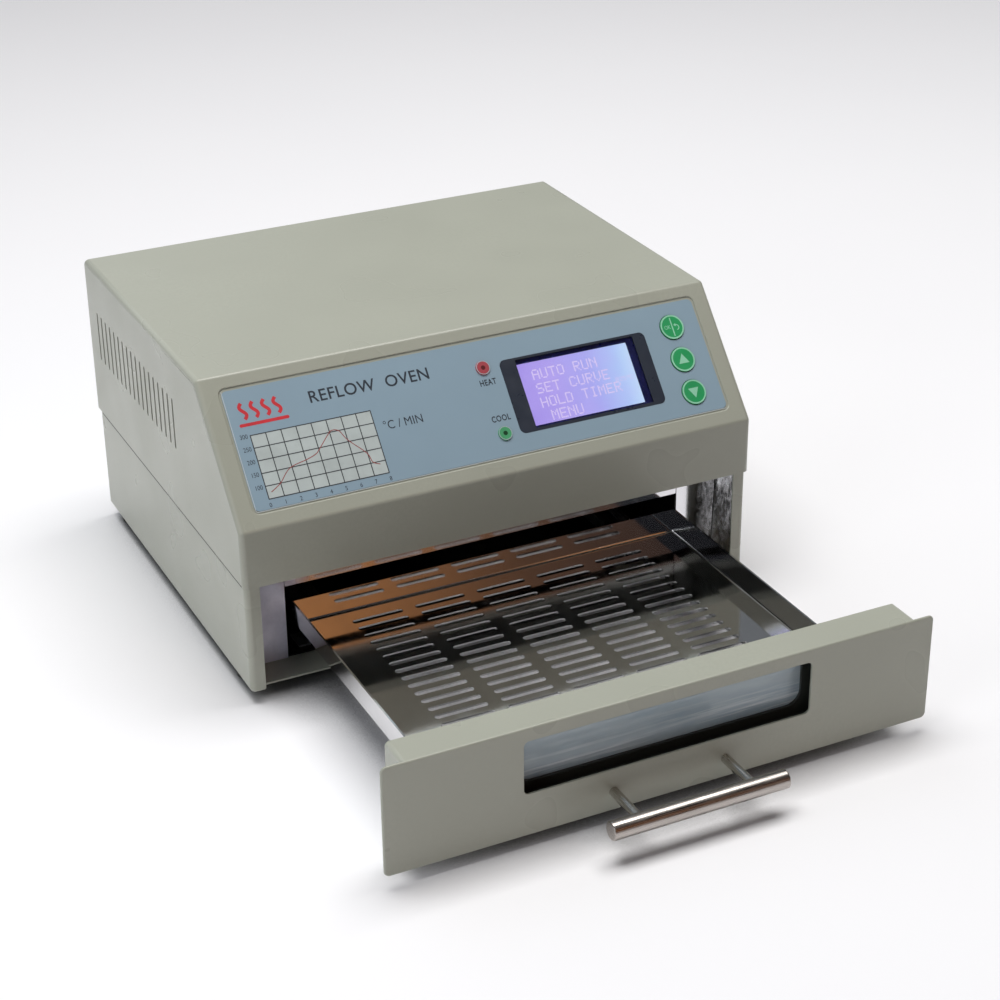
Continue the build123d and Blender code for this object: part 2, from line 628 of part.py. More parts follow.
with BuildPart() as lcd_bezel:
    with BuildSketch(console(-POCKET_DEPTH)):
        rect(15.4, 106.9, 20.3, 63.6, r=3.4)
        rect(25.1, 99.3, 22.1, 62.3, r=0.3, mode=Mode.SUBTRACT)
    extrude(amount=0.5)
keep(lcd_bezel, "lcd_bezel")

with BuildPart() as lcd_glass:
    with BuildSketch(console(-POCKET_DEPTH - 1.0)):
        rect(19.0, 103.3, 21.75, 62.75, r=1.0)
    extrude(amount=1.0)
keep(lcd_glass, "lcd_glass")

with BuildPart() as lcd_module:
    with BuildSketch(console(-9.6)):
        rect(10.0, 111.5, 13.0, 71.0, r=1.0)
    extrude(amount=1.6)
    with BuildSketch(console(-8.0)):
        rect(14.5, 107.5, 17.0, 67.5, r=1.0)
    extrude(amount=6.1)
    with BuildSketch(console(-8.0)):
        with Locations((12, 15), (109.6, 15), (12, 69), (109.6, 69)):
            Circle(1.8)
    extrude(amount=8.0 - SHEET)
keep(lcd_module, "lcd_module")

for name, lx, ls, r in LAMPS:
    with BuildPart() as lamp:
        with BuildSketch(console(-9.0)):
            with Locations((lx, ls)):
                Circle(2.4)
        extrude(amount=9.0)
        with BuildSketch(console(-0.3)):
            with Locations((lx, ls)):
                Circle(r)
        extrude(amount=0.8, taper=12)
        with BuildSketch(console(1.0)):
            with Locations((lx, ls)):
                Circle(1.9)
        extrude(amount=-1.3, mode=Mode.SUBTRACT)
    keep(lamp, name)

for name, s in KEYS:
    with BuildPart() as key:
        with BuildSketch(console(-3.0)):
            with Locations((KEY_X, s)):
                Circle(8.5)
        extrude(amount=1.4)
        with BuildSketch(console(-1.6)):
            with Locations((KEY_X, s)):
                Circle(7.35)
        extrude(amount=2.0)
        crown = key.edges().filter_by(GeomType.CIRCLE).sort_by(
            lambda e: (e.center() - Vector(*at(0, 0, NOSE_Z))).dot(
                Vector(*NORMAL)))[-1]
        fillet(crown, 0.35)
    keep(key, name)

with BuildPart() as keypad_board:
    with BuildSketch(console(-7.5)):
        rect(112.2, 140.0, 12.0, 74.0, r=1.0)
    extrude(amount=1.6)
    with BuildSketch(console(-5.9)):
        for _, s in KEYS:
            with Locations((KEY_X, s)):
                RectangleRounded(6.2, 6.2, 0.5)
    extrude(amount=1.4)
    with BuildSketch(console(-4.5)):
        for _, s in KEYS:
            with Locations((KEY_X, s)):
                Circle(1.6)
    extrude(amount=0.6)
    with BuildSketch(console(-5.9)):
        with Locations((114.2, 14.2), (138, 14.2), (114.2, 72.0), (138, 72.0)):
            Circle(1.6)
    extrude(amount=5.9 - SHEET)
keep(keypad_board, "keypad_board")

# =============================================================================
# electronics bay
# =============================================================================
with BuildPart() as electronics_shelf:
    block(-152.8, 152.8, 28.2, 246, SHELF_Z, SHELF_Z + 1)
    for sx in (-1, 1):
        block(min(sx * 151.8, sx * 152.8), max(sx * 151.8, sx * 152.8), 28.2,
              246, 62, SHELF_Z + 1)
    block(-152.8, 152.8, 245, 246, SHELF_Z, SHELF_Z + 9)
    rod(INLET_X, 222, SHELF_Z, 6, 6, "Z", mode=Mode.SUBTRACT)
keep(electronics_shelf, "electronics_shelf")

TOP = SHELF_Z + 1
with BuildPart() as control_board:
    block(-70, 50, 110, 215, TOP + 6, TOP + 7.6)
    for px in (-66, 46):
        for py in (114, 211):
            rod(px, py, TOP + 3, 3.0, 6.0, "Z")
    block(-20, -6, 140, 154, TOP + 7.6, TOP + 9.6)        # controller
    block(14, 33, 180, 196, TOP + 7.6, TOP + 23)          # relay
    block(-62, -47, 185, 201, TOP + 7.6, TOP + 20)        # relay
    block(-60, -36, 112, 119, TOP + 7.6, TOP + 16)        # display header
    for cx, cy, cr, ch in ((30, 135, 5, 16), (-30, 190, 6.5, 21),
                           (-8, 200, 4, 12), (38, 160, 4, 12)):
        rod(cx, cy, TOP + 7.6 + ch / 2, cr, ch, "Z")
keep(control_board, "control_board")

with BuildPart() as transformer:
    block(72, 122, 150, 190, TOP + 3, TOP + 45)
    block(84, 110, 139, 150, TOP + 10, TOP + 38)
    block(84, 110, 190, 201, TOP + 10, TOP + 38)
    block(62, 132, 163, 177, TOP, TOP + 3)                # mounting strap
keep(transformer, "transformer")

with BuildPart() as heat_sink:
    block(-132, -86, 130, 196, TOP, TOP + 4)
    for i in range(8):
        fx = -132 + i * 6.3
        block(fx, fx + 1.9, 130, 196, TOP + 4, TOP + 30)
keep(heat_sink, "heat_sink")

with BuildPart() as terminal_block:
    block(-60, -8, 226, 240, TOP, TOP + 12)
    for i in range(5):
        tx = -55 + i * 10.5
        block(tx - 3.6, tx + 3.6, 228, 232.5, TOP + 8, TOP + 13,
              mode=Mode.SUBTRACT)
        rod(tx, 236.5, TOP + 11, 2.6, 6, "Z", mode=Mode.SUBTRACT)
keep(terminal_block, "terminal_block")

with BuildPart() as wiring_harness:
    # display ribbon: display board to the header on the control board
    s_r, n_r = 40.0, -9.6
    ry = s_r * cos(radians(SLOPE)) + n_r * NORMAL[1]
    rz = NOSE_Z + s_r * sin(radians(SLOPE)) + n_r * NORMAL[2]
    with BuildSketch(side(36)):
        with BuildLine():
            upper = [(ry + 0.3, rz - 0.3), (ry + 14, rz + 3), (ry + 40, rz + 1),
                     (109.5, TOP + 12)]
            lower = [(y, z - 1.0) for y, z in reversed(upper)]
            Polyline(*(upper + lower), close=True)
        make_face()
    extrude(amount=22)
with BuildPart() as mains_loom:
    # loom from the inlet up through the shelf to the terminal block
    with BuildLine(Plane.XY):
        loom_path = FilletPolyline(
            at(INLET_X, 229.4, 62), at(INLET_X, 222, 62), at(INLET_X, 222, 124),
            at(-34, 222, 124), at(-34, 233, 124), at(-34, 233, TOP + 12.2),
            radius=3.4)
    with BuildSketch(Plane(origin=at(INLET_X, 229.4, 62), z_dir=(0, -1, 0))):
        Circle(1.9)
    sweep(path=loom_path)
with BuildPart() as harness:
    add(wiring_harness.part)
    add(mains_loom.part)
keep(harness, "wiring_harness")

# =============================================================================
# exhaust fan
# =============================================================================
FAN_Y0, FAN_Y1 = BASE_Y1 - FAN_DEPTH, BASE_Y1
with BuildPart() as exhaust_fan_frame:
    block(FAN_X - 30, FAN_X + 30, FAN_Y0, FAN_Y1, FAN_Z - 30, FAN_Z + 30)
    fillet(exhaust_fan_frame.edges().filter_by(Axis.Y), 3.0)
    rod(FAN_X, (FAN_Y0 + FAN_Y1) / 2, FAN_Z, 28.4, 60, "Y", mode=Mode.SUBTRACT)
    # waist between the two square flanges
    for ex in (-1, 1):
        for ez in (-1, 1):
            cx, cz = FAN_X + ex * 25, FAN_Z + ez * 25
            rod(cx, (FAN_Y0 + FAN_Y1) / 2, cz, 2.2, 60, "Y", mode=Mode.SUBTRACT)
    # motor seat on four arms at the outlet side
    rod(FAN_X, FAN_Y1 - 1.4, FAN_Z, 13.0, 2.8, "Y")
    block(FAN_X - 29, FAN_X + 29, FAN_Y1 - 2.8, FAN_Y1, FAN_Z - 1.6, FAN_Z + 1.6)
    block(FAN_X - 1.6, FAN_X + 1.6, FAN_Y1 - 2.8, FAN_Y1, FAN_Z - 29, FAN_Z + 29)
    rod(FAN_X, FAN_Y1, FAN_Z, 1.58, 12, "Y", mode=Mode.SUBTRACT)
keep(exhaust_fan_frame, "exhaust_fan_frame")

with BuildPart() as exhaust_fan_rotor:
    HUB_Y0, HUB_Y1 = FAN_Y0 + 2.0, FAN_Y1 - 3.6
    rod(FAN_X, (HUB_Y0 + HUB_Y1) / 2, FAN_Z, 12.0, HUB_Y1 - HUB_Y0, "Y")
    rod(FAN_X, FAN_Y1 - 2.6, FAN_Z, 1.5, 3.0, "Y")        # shaft end
    for i in range(7):
        blade = Plane(origin=at(FAN_X, (HUB_Y0 + HUB_Y1) / 2, FAN_Z),
                      x_dir=(cos(radians(i * 360 / 7)), 0,
                             sin(radians(i * 360 / 7))),
                      z_dir=(0, -1, 0))
        with Locations(blade.location):
            with Locations(Location((19.2, 0, 0), (38, 0, 0))):
                Box(15.6, 15.0, 1.3)
keep(exhaust_fan_rotor, "exhaust_fan_rotor")

with BuildPart() as exhaust_fan_guard:
    for r in (6.0, 13.5, 21.0, 28.0):
        with Locations(Location(at(FAN_X, REAR_FACE + 1.8, FAN_Z), (90, 0, 0))):
            Torus(r, 0.8)
    for ex in (-1, 1):
        for ez in (-1, 1):
            spoke = Plane(origin=at(FAN_X, REAR_FACE + 1.2, FAN_Z),
                          x_dir=(ex, 0, ez), z_dir=(0, 1, 0))
            with Locations(spoke.location * Location((18.6, 0, 0), (0, 90, 0))):
                Cylinder(0.8, 26.8)
            rod(FAN_X + ex * 25, REAR_FACE + 0.6, FAN_Z + ez * 25, 3.6, 1.2, "Y")
            rod(FAN_X + ex * 25, REAR_FACE + 0.6, FAN_Z + ez * 25, 2.0, 6.0, "Y",
                mode=Mode.SUBTRACT)
keep(exhaust_fan_guard, "exhaust_fan_guard")

with BuildPart() as fan_screws:
    for ex in (-1, 1):
        for ez in (-1, 1):
            cx, cz = FAN_X + ex * 25, FAN_Z + ez * 25
            rod(cx, REAR_FACE + 2.0 + 0.1, cz, 3.2, 1.8, "Y")
            rod(cx, REAR_FACE - 4.4, cz, 1.8, 12.0, "Y")
            with BuildSketch(front(REAR_FACE + 3.4)):
                with Locations((cx, cz)):
                    Rectangle(3.6, 0.8)
                    Rectangle(0.8, 3.6)
            extrude(amount=1.4, mode=Mode.SUBTRACT)
keep(fan_screws, "fan_screws")

# =============================================================================
# mains inlet, fuse drawer and rocker switch
# =============================================================================
with BuildPart() as power_inlet:
    with BuildSketch(front(REAR_FACE + 2.5)):
        rect(INLET_X - 25, INLET_X + 25, INLET_Z - 16.5, INLET_Z + 16.5, r=3.0)
        with Locations((INLET_X - 20, INLET_Z), (INLET_X + 20, INLET_Z)):
            Circle(1.7, mode=Mode.SUBTRACT)
    extrude(amount=2.5)
    block(INLET_X - 13.5, INLET_X + 13.5, 230, REAR_FACE, INLET_Z - 14.8,
          INLET_Z + 14.8)
    # appliance socket with two bevelled lower corners
    with BuildSketch(front(REAR_FACE + 3)):
        with BuildLine():
            Polyline((INLET_X - 12, INLET_Z - 9.5), (INLET_X - 8.4, INLET_Z - 13),
                     (INLET_X + 8.4, INLET_Z - 13), (INLET_X + 12, INLET_Z - 9.5),
                     (INLET_X + 12, INLET_Z + 3), (INLET_X - 12, INLET_Z + 3),
                     close=True)
        make_face()
    extrude(amount=18.5, mode=Mode.SUBTRACT)
    # slot for the fuse drawer
    block(INLET_X - 11.2, INLET_X + 11.2, 235, REAR_FACE + 3, INLET_Z + 5.3,
          INLET_Z + 13.7, mode=Mode.SUBTRACT)
    # contact blades and rear tabs
    for bx, bz in ((-7, -4), (7, -4), (0, -8.4)):
        block(INLET_X + bx - 1, INLET_X + bx + 1, 234, 253.5, INLET_Z + bz - 2,
              INLET_Z + bz + 2)
    for bx in (-7, 0, 7):
        block(INLET_X + bx - 2.4, INLET_X + bx + 2.4, 223.5, 230,
              INLET_Z - 8.4, INLET_Z - 7.6)
keep(power_inlet, "power_inlet")

with BuildPart() as fuse_drawer:
    zc = INLET_Z + 9.5
    block(INLET_X - 10.9, INLET_X + 10.9, 237, REAR_FACE + 2.8, zc - 3.9,
          zc + 3.9)
    block(INLET_X - 8.5, INLET_X + 8.5, 241, 253, zc - 2.7, zc + 5,
          mode=Mode.SUBTRACT)                           # fuse pocket
    block(INLET_X - 11.2, INLET_X + 11.2, REAR_FACE + 2.8, REAR_MOST, zc - 4.2,
          zc + 4.2)
    block(INLET_X - 4, INLET_X + 4, REAR_MOST - 0.5, REAR_MOST + 1, zc - 3.2,
          zc - 2.0, mode=Mode.SUBTRACT)                 # pry notch
    rod(INLET_X, 247, zc + 0.2, 2.5, 17.0, "X")         # the fuse in its pocket
keep(fuse_drawer, "fuse_drawer")

with BuildPart() as power_switch_housing:
    with BuildSketch(front(REAR_FACE + 1.8)):
        rect(SWITCH_X - 7.9, SWITCH_X + 7.9, SWITCH_Z - 11.6, SWITCH_Z + 11.6,
             r=1.2)
    extrude(amount=1.8)
    block(SWITCH_X - 6.7, SWITCH_X + 6.7, 236, REAR_FACE, SWITCH_Z - 10.4,
          SWITCH_Z + 10.4)
    block(SWITCH_X - 5.8, SWITCH_X + 5.8, 243.5, REAR_FACE + 3, SWITCH_Z - 9.6,
          SWITCH_Z + 9.6, mode=Mode.SUBTRACT)
    for tz in (-6, 6):
        block(SWITCH_X - 0.4, SWITCH_X + 0.4, 227, 236, SWITCH_Z + tz - 2.4,
              SWITCH_Z + tz + 2.4)
    # pivot pins for the rocker
    for sx in (-1, 1):
        rod(SWITCH_X + sx * 5.2, SWITCH_PIVOT, SWITCH_Z, 0.9, 1.2, "X")
keep(power_switch_housing, "power_switch_housing")

ROCKER_P = [(-6.4, -4.4), (6.4, -4.4), (8.3, 1.6), (8.3, 6.2), (0, 4.8),
            (-8.3, 6.2), (-8.3, 1.6)]          # (z, y) about the pivot
tilt = radians(ROCKER_TILT)
with BuildPart() as power_switch_rocker:
    with BuildSketch(side(SWITCH_X - 5.45)):
        with BuildLine():
            Polyline(*[(SWITCH_PIVOT + y * cos(tilt) - z * sin(tilt),
                        SWITCH_Z + y * sin(tilt) + z * cos(tilt))
                       for z, y in ROCKER_P], close=True)
        make_face()
    extrude(amount=10.9)
    rod(SWITCH_X, SWITCH_PIVOT, SWITCH_Z, 0.98, 14, "X", mode=Mode.SUBTRACT)
keep(power_switch_rocker, "power_switch_rocker")

print(len(NODES), "nodes, FY", FY)
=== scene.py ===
import math

import bmesh
import bpy
from mathutils import Matrix, Vector, noise


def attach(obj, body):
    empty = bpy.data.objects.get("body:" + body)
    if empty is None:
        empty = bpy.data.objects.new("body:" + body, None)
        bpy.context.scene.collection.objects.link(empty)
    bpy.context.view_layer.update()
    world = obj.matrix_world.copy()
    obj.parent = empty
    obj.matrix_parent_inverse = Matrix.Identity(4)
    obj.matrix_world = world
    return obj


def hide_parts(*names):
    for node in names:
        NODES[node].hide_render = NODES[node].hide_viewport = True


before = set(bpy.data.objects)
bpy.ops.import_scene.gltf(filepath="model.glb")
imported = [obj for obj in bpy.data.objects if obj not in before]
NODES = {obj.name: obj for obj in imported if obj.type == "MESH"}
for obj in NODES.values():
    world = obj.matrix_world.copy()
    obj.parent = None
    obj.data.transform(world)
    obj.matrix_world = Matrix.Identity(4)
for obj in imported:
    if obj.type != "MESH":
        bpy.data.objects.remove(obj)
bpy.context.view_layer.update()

# ---------------------------------------------------------------- frame facts
FY, FH = -0.0222, 0.007           # body coordinates -> row frame
SLOPE = math.radians(48.41)
NOSE_Z = 0.0982
S_DIR = Vector((0, math.cos(SLOPE), math.sin(SLOPE)))
N_DIR = Vector((0, -math.sin(SLOPE), math.cos(SLOPE)))
P_ORG = Vector((0, FY, FH + NOSE_Z))


def on_panel(x, s, n=0.0):
    """A point on the sloping console: x and s in mm along it, n in mm above its outer face."""
    return Vector((x / 1000, 0, 0)) + P_ORG + S_DIR * (s / 1000) + N_DIR * (n / 1000)


def body(x, y, z):
    return Vector((x / 1000, y / 1000 + FY, z / 1000 + FH))


# ------------------------------------------------------------------ materials
class Mat:
    """A node material with a few helpers."""

    def __init__(self, name):
        self.m = bpy.data.materials.new(name)
        self.m.use_nodes = True
        self.nt = self.m.node_tree
        self.nt.nodes.clear()
        self.out = self.nt.nodes.new("ShaderNodeOutputMaterial")
        self.p = self.nt.nodes.new("ShaderNodeBsdfPrincipled")
        self.link(self.p.outputs["BSDF"], self.out.inputs["Surface"])
        self.tc = self.nt.nodes.new("ShaderNodeTexCoord")

    def link(self, a, b):
        self.nt.links.new(a, b)

    def set(self, **kw):
        for k, v in kw.items():
            self.p.inputs[k.replace("_", " ")].default_value = v
        return self

    def node(self, kind, **kw):
        n = self.nt.nodes.new(kind)
        for k, v in kw.items():
            setattr(n, k, v)
        return n

    def coords(self, scale=(1, 1, 1), rot=(0, 0, 0)):
        mp = self.node("ShaderNodeMapping")
        mp.inputs["Scale"].default_value = scale
        mp.inputs["Rotation"].default_value = rot
        self.link(self.tc.outputs["Object"], mp.inputs["Vector"])
        return mp.outputs["Vector"]

    def noise(self, scale, detail=2.0, rough=0.5, vec=None, distortion=0.0):
        n = self.node("ShaderNodeTexNoise")
        n.inputs["Scale"].default_value = scale
        n.inputs["Detail"].default_value = detail
        n.inputs["Roughness"].default_value = rough
        n.inputs["Distortion"].default_value = distortion
        self.link(vec if vec is not None else self.tc.outputs["Object"], n.inputs["Vector"])
        return n.outputs["Fac"]

    def ramp(self, fac, stops):
        r = self.node("ShaderNodeValToRGB")
        els = r.color_ramp.elements
        while len(els) > 1:
            els.remove(els[-1])
        els[0].position, els[0].color = stops[0][0], stops[0][1]
        for pos, col in stops[1:]:
            e = els.new(pos)
            e.color = col
        self.link(fac, r.inputs["Fac"])
        return r.outputs["Color"]

    def range(self, fac, lo, hi, a=0.0, b=1.0):
        r = self.node("ShaderNodeMapRange")
        r.inputs["From Min"].default_value = a
        r.inputs["From Max"].default_value = b
        r.inputs["To Min"].default_value = lo
        r.inputs["To Max"].default_value = hi
        self.link(fac, r.inputs["Value"])
        return r.outputs["Result"]

    def mix(self, fac, a, b):
        n = self.node("ShaderNodeMix", data_type="RGBA")
        if isinstance(fac, float):
            n.inputs["Factor"].default_value = fac
        else:
            self.link(fac, n.inputs["Factor"])
        for sock, v in ((n.inputs[6], a), (n.inputs[7], b)):
            if isinstance(v, tuple):
                sock.default_value = v
            else:
                self.link(v, sock)
        return n.outputs[2]

    def bump(self, height, strength, distance, after=None):
        b = self.node("ShaderNodeBump")
        b.inputs["Strength"].default_value = strength
        b.inputs["Distance"].default_value = distance
        self.link(height, b.inputs["Height"])
        if after is not None:
            self.link(after, b.inputs["Normal"])
        return b.outputs["Normal"]

    def normal(self, n):
        self.link(n, self.p.inputs["Normal"])

    def to(self, sock, value):
        self.link(value, self.p.inputs[sock])


def rgb(r, g, b):
    """sRGB 0..255 to linear rgba."""
    def f(c):
        c /= 255.0
        return c / 12.92 if c <= 0.04045 else ((c + 0.055) / 1.055) ** 2.4
    return (f(r), f(g), f(b), 1.0)


def painted(name, base, rough=0.40, grain=1.0):
    """Powder coat: faint mottling, fine orange peel, slightly rubbed sheen."""
    k = Mat(name)
    dark = tuple(c * 0.975 for c in base[:3]) + (1,)
    light = tuple(min(1, c * 1.02) for c in base[:3]) + (1,)
    mott = k.noise(14, 1, 0.4)
    speck = k.noise(650, 0, 0.4)
    c1 = k.mix(k.range(mott, 0.0, 1.0, 0.35, 0.65), dark, light)
    c2 = k.mix(k.range(speck, 0.0, 1.0, 0.3, 0.7), c1, tuple(c * 0.985 for c in base[:3]) + (1,))
    k.to("Base Color", c2)
    k.to("Roughness", k.range(k.noise(26, 1, 0.4), rough - 0.03, rough + 0.06, 0.3, 0.7))
    n1 = k.bump(k.noise(650, 0, 0.5), 0.03 * grain, 0.0002)
    n2 = k.bump(k.noise(260, 1.5, 0.5), 0.06 * grain, 0.0004, n1)
    k.normal(n2)
    return k.m


def mirror_steel(name, base, rough=0.05, wave=0.05, film_mottle=0.10):
    """Polished stainless: faint sheet waviness, wipe marks in the gloss."""
    k = Mat(name)
    k.set(Metallic=1.0)
    tint = tuple(c * 0.90 for c in base[:3]) + (1,)
    k.to("Base Color", k.mix(k.range(k.noise(30, 5, 0.7), 0, 1, 0.3, 0.75), base, tint))
    wipes = k.noise(60, 6, 0.75, k.coords((1.0, 0.16, 1.0)))
    fine = k.noise(700, 2, 0.5, k.coords((1.0, 0.05, 1.0)))
    r1 = k.range(wipes, rough, rough + film_mottle, 0.45, 0.85)
    m = k.node("ShaderNodeMath", operation="MULTIPLY_ADD")
    k.link(fine, m.inputs[0])
    m.inputs[1].default_value = 0.03
    k.link(r1, m.inputs[2])
    k.to("Roughness", m.outputs[0])
    n1 = k.bump(k.noise(9, 1.5, 0.4), wave, 0.002)
    n2 = k.bump(k.noise(2600, 1, 0.5, k.coords((1.0, 0.02, 1.0))), 0.02, 0.00005, n1)
    k.normal(n2)
    return k.m


def brushed(name, base, rough=0.26, along="X", fine=1.0):
    k = Mat(name)
    k.set(Metallic=1.0)
    sc = {"X": (0.02, 1, 1), "Y": (1, 0.02, 1), "Z": (1, 1, 0.02)}[along]
    streak = k.noise(2400 * fine, 3, 0.6, k.coords(sc))
    k.to("Base Color", k.mix(k.range(streak, 0, 1, 0.35, 0.65), tuple(c * 0.78 for c in base[:3]) + (1,), base))
    k.to("Roughness", k.range(streak, rough - 0.06, rough + 0.10, 0.3, 0.7))
    k.normal(k.bump(streak, 0.10, 0.00006))
    return k.m


def plastic(name, base, rough=0.45, grain=0.08, scale=1800):
    k = Mat(name)
    dark = tuple(c * 0.86 for c in base[:3]) + (1,)
    k.to("Base Color", k.mix(k.range(k.noise(70, 4, 0.6), 0, 1, 0.35, 0.7), base, dark))
    k.to("Roughness", k.range(k.noise(120, 4, 0.6), rough - 0.05, rough + 0.08, 0.3, 0.7))
    k.normal(k.bump(k.noise(scale, 2, 0.5), grain, 0.0001))
    return k.m


def zinc(name, base, rough=0.34):
    """Galvanised sheet: spangle in tone and gloss."""
    k = Mat(name)
    k.set(Metallic=1.0)
    v = k.node("ShaderNodeTexVoronoi", feature="F1")
    v.inputs["Scale"].default_value = 160
    k.link(k.tc.outputs["Object"], v.inputs["Vector"])
    sep = k.node("ShaderNodeSeparateColor")
    k.link(v.outputs["Color"], sep.inputs["Color"])
    k.to("Base Color", k.mix(k.range(sep.outputs[0], 0, 1), tuple(c * 0.80 for c in base[:3]) + (1,), base))
    k.to("Roughness", k.range(sep.outputs[1], rough - 0.07, rough + 0.1))
    k.normal(k.bump(k.noise(400, 3, 0.6), 0.06, 0.0002))
    return k.m


def glass(name, tint, rough=0.02, ior=1.5):
    k = Mat(name)
    k.set(Base_Color=tint, Transmission_Weight=1.0, IOR=ior)
    k.to("Roughness", k.range(k.noise(40, 5, 0.7), rough, rough + 0.04, 0.4, 0.8))
    k.normal(k.bump(k.noise(14, 2, 0.5), 0.02, 0.0004))
    return k.m


PAINT = painted("powder_coat", rgb(164, 166, 154), 0.29, 0.8)
PAINT_REAR = painted("powder_coat_rear", rgb(164, 163, 149), 0.36)
RUBBER = plastic("foot_rubber", rgb(24, 24, 24), 0.7, 0.3, 900)
MIRROR = mirror_steel("mirror_steel", (0.72, 0.72, 0.725, 1))
PLATE = mirror_steel("bright_plate", (0.80, 0.80, 0.83, 1), 0.09, 0.22, 0.14)


def front_plate():
    """Bright steel; its left end is made less metallic and rougher and painted a pale lavender that stands in for the
    reflection of the pale floor.
    """
    k = Mat("chamber_plate")
    sepx = k.node("ShaderNodeSeparateXYZ")
    k.link(k.tc.outputs["Object"], sepx.inputs["Vector"])
    # painted reflection: the left end's mottled pale lavender colour stands in for the reflected pale floor in front
    left_end_mask = k.range(sepx.outputs["X"], 1.0, 0.0, -0.118, -0.104)
    k.to("Metallic", k.range(left_end_mask, 1.0, 0.15))
    reflection_mottle = k.noise(55, 4, 0.6)
    pale = k.mix(k.range(reflection_mottle, 0, 1, 0.35, 0.7), (0.50, 0.50, 0.60, 1), (0.74, 0.73, 0.84, 1))
    k.to("Base Color", k.mix(left_end_mask, (0.78, 0.78, 0.81, 1), pale))
    k.to("Roughness", k.range(left_end_mask, 0.10, 0.30))
    n1 = k.bump(k.noise(9, 1.5, 0.4), 0.2, 0.002)
    k.normal(k.bump(k.noise(2600, 1, 0.5, k.coords((1.0, 0.02, 1.0))), 0.02, 0.00005, n1))
    return k.m


CHAMBER_PLATE = front_plate()
# the chamber liner is given a near-black zinc colour
LINER = zinc("near_black_liner", (0.045, 0.043, 0.04, 1), 0.5)
LINER_BRIGHT = mirror_steel("liner_bright", (0.62, 0.64, 0.66, 1), 0.14, 0.3, 0.2)
ZINC = zinc("galvanised", (0.55, 0.56, 0.57, 1))
SCREW = brushed("bright_zinc", (0.70, 0.70, 0.68, 1), 0.28, "Y")
HANDLE = brushed("brushed_handle", (0.50, 0.46, 0.43, 1), 0.28, "X")
POSTS = brushed("brushed_posts", (0.66, 0.64, 0.61, 1), 0.20, "Y")
BLACK = plastic("satin_black", rgb(47, 50, 46), 0.36, 0.05)
BLACK_PL = plastic("moulded_black", rgb(22, 22, 23), 0.5, 0.12)
FIBRE = plastic("ceramic_fibre", rgb(226, 222, 210), 0.95, 0.6, 500)


def film_sheet(name, base):
    """Printed polycarbonate overlay: even tone, fine satin grain."""
    k = Mat(name)
    dark = tuple(c * 0.96 for c in base[:3]) + (1,)
    k.to("Base Color", k.mix(k.range(k.noise(24, 3, 0.5), 0, 1, 0.35, 0.7), base, dark))
    k.to("Roughness", k.range(k.noise(120, 4, 0.6), 0.30, 0.36, 0.3, 0.7))
    k.normal(k.bump(k.noise(2600, 2, 0.5), 0.04, 0.0001))
    return k.m


QUARTZ = glass("quartz", (0.9, 0.9, 0.9, 1), 0.02, 1.46)
COIL = brushed("resistance_wire", (0.22, 0.19, 0.17, 1), 0.5, "X")
CERAMIC = plastic("ceramic_caps", rgb(228, 222, 206), 0.6, 0.2, 700)


def window_pane():
    """Tempered pane, clear with a faint blue tint; over it a pale bluish diffuse layer is mixed in as a painted
    reflection, whiter and denser in streaks towards the bottom.
    """
    k = Mat("window_pane")
    k.set(Base_Color=(0.78, 0.88, 0.93, 1), Transmission_Weight=1.0, IOR=1.5)
    k.to("Roughness", k.range(k.noise(40, 5, 0.7), 0.01, 0.05, 0.4, 0.8))
    k.normal(k.bump(k.noise(14, 2, 0.5), 0.02, 0.0004))
    # painted reflection: this diffuse pale layer, mixed over the glass, stands in for the reflection of the pale floor
    film = k.node("ShaderNodeBsdfPrincipled")
    sepz = k.node("ShaderNodeSeparateXYZ")
    k.link(k.tc.outputs["Object"], sepz.inputs["Vector"])
    low = k.range(sepz.outputs["Z"], 1.0, 0.0, 0.033, 0.052)
    streak = k.noise(1.0, 4, 0.62, k.coords((14, 1, 420), (0, math.radians(1.2), 0)))
    film_mottle = k.noise(34, 4, 0.6, k.coords((0.5, 1, 1.6)))
    mul = k.node("ShaderNodeMath", operation="MULTIPLY")
    k.link(k.range(streak, 0.0, 1.0, 0.50, 0.72), mul.inputs[0])
    k.link(low, mul.inputs[1])
    tone = k.mix(k.range(film_mottle, 0, 1, 0.35, 0.7), rgb(186, 206, 218), rgb(214, 228, 234))
    tone = k.mix(mul.outputs[0], tone, rgb(250, 252, 253))
    k.link(tone, film.inputs["Base Color"])
    film.inputs["Roughness"].default_value = 0.22
    blend = k.node("ShaderNodeMixShader")
    fac = k.node("ShaderNodeMath", operation="MULTIPLY_ADD")
    k.link(mul.outputs[0], fac.inputs[0])
    fac.inputs[1].default_value = 0.30
    fac.inputs[2].default_value = 0.52
    k.link(fac.outputs[0], blend.inputs["Fac"])
    k.link(k.p.outputs["BSDF"], blend.inputs[1])
    k.link(film.outputs["BSDF"], blend.inputs[2])
    k.link(blend.outputs["Shader"], k.out.inputs["Surface"])
    return k.m


WINDOW = window_pane()
OVERLAY = film_sheet("overlay_film", rgb(141, 164, 180))
BEZEL = plastic("slate_bezel", rgb(48, 54, 66), 0.30, 0.04, 2600)
LCDGLASS = glass("display_window", (0.92, 0.93, 0.97, 1), 0.01)
BOARD = plastic("circuit_board", rgb(24, 92, 52), 0.35, 0.1, 700)
IRON = plastic("varnished_core", rgb(62, 54, 48), 0.5, 0.3, 400)
ALU = brushed("extruded_aluminium", (0.66, 0.66, 0.67, 1), 0.3, "Y")
WIRE = plastic("wire_jacket", rgb(30, 30, 34), 0.45, 0.1)
RED_LENS = plastic("red_lens", rgb(165, 62, 72), 0.5, 0.03)
GREEN_LENS = plastic("green_lens", rgb(70, 158, 108), 0.5, 0.03)
KEY_GREEN = plastic("key_green", rgb(46, 158, 96), 0.33, 0.05)
TC_STEEL = brushed("probe_steel", (0.6, 0.6, 0.6, 1), 0.2, "X")

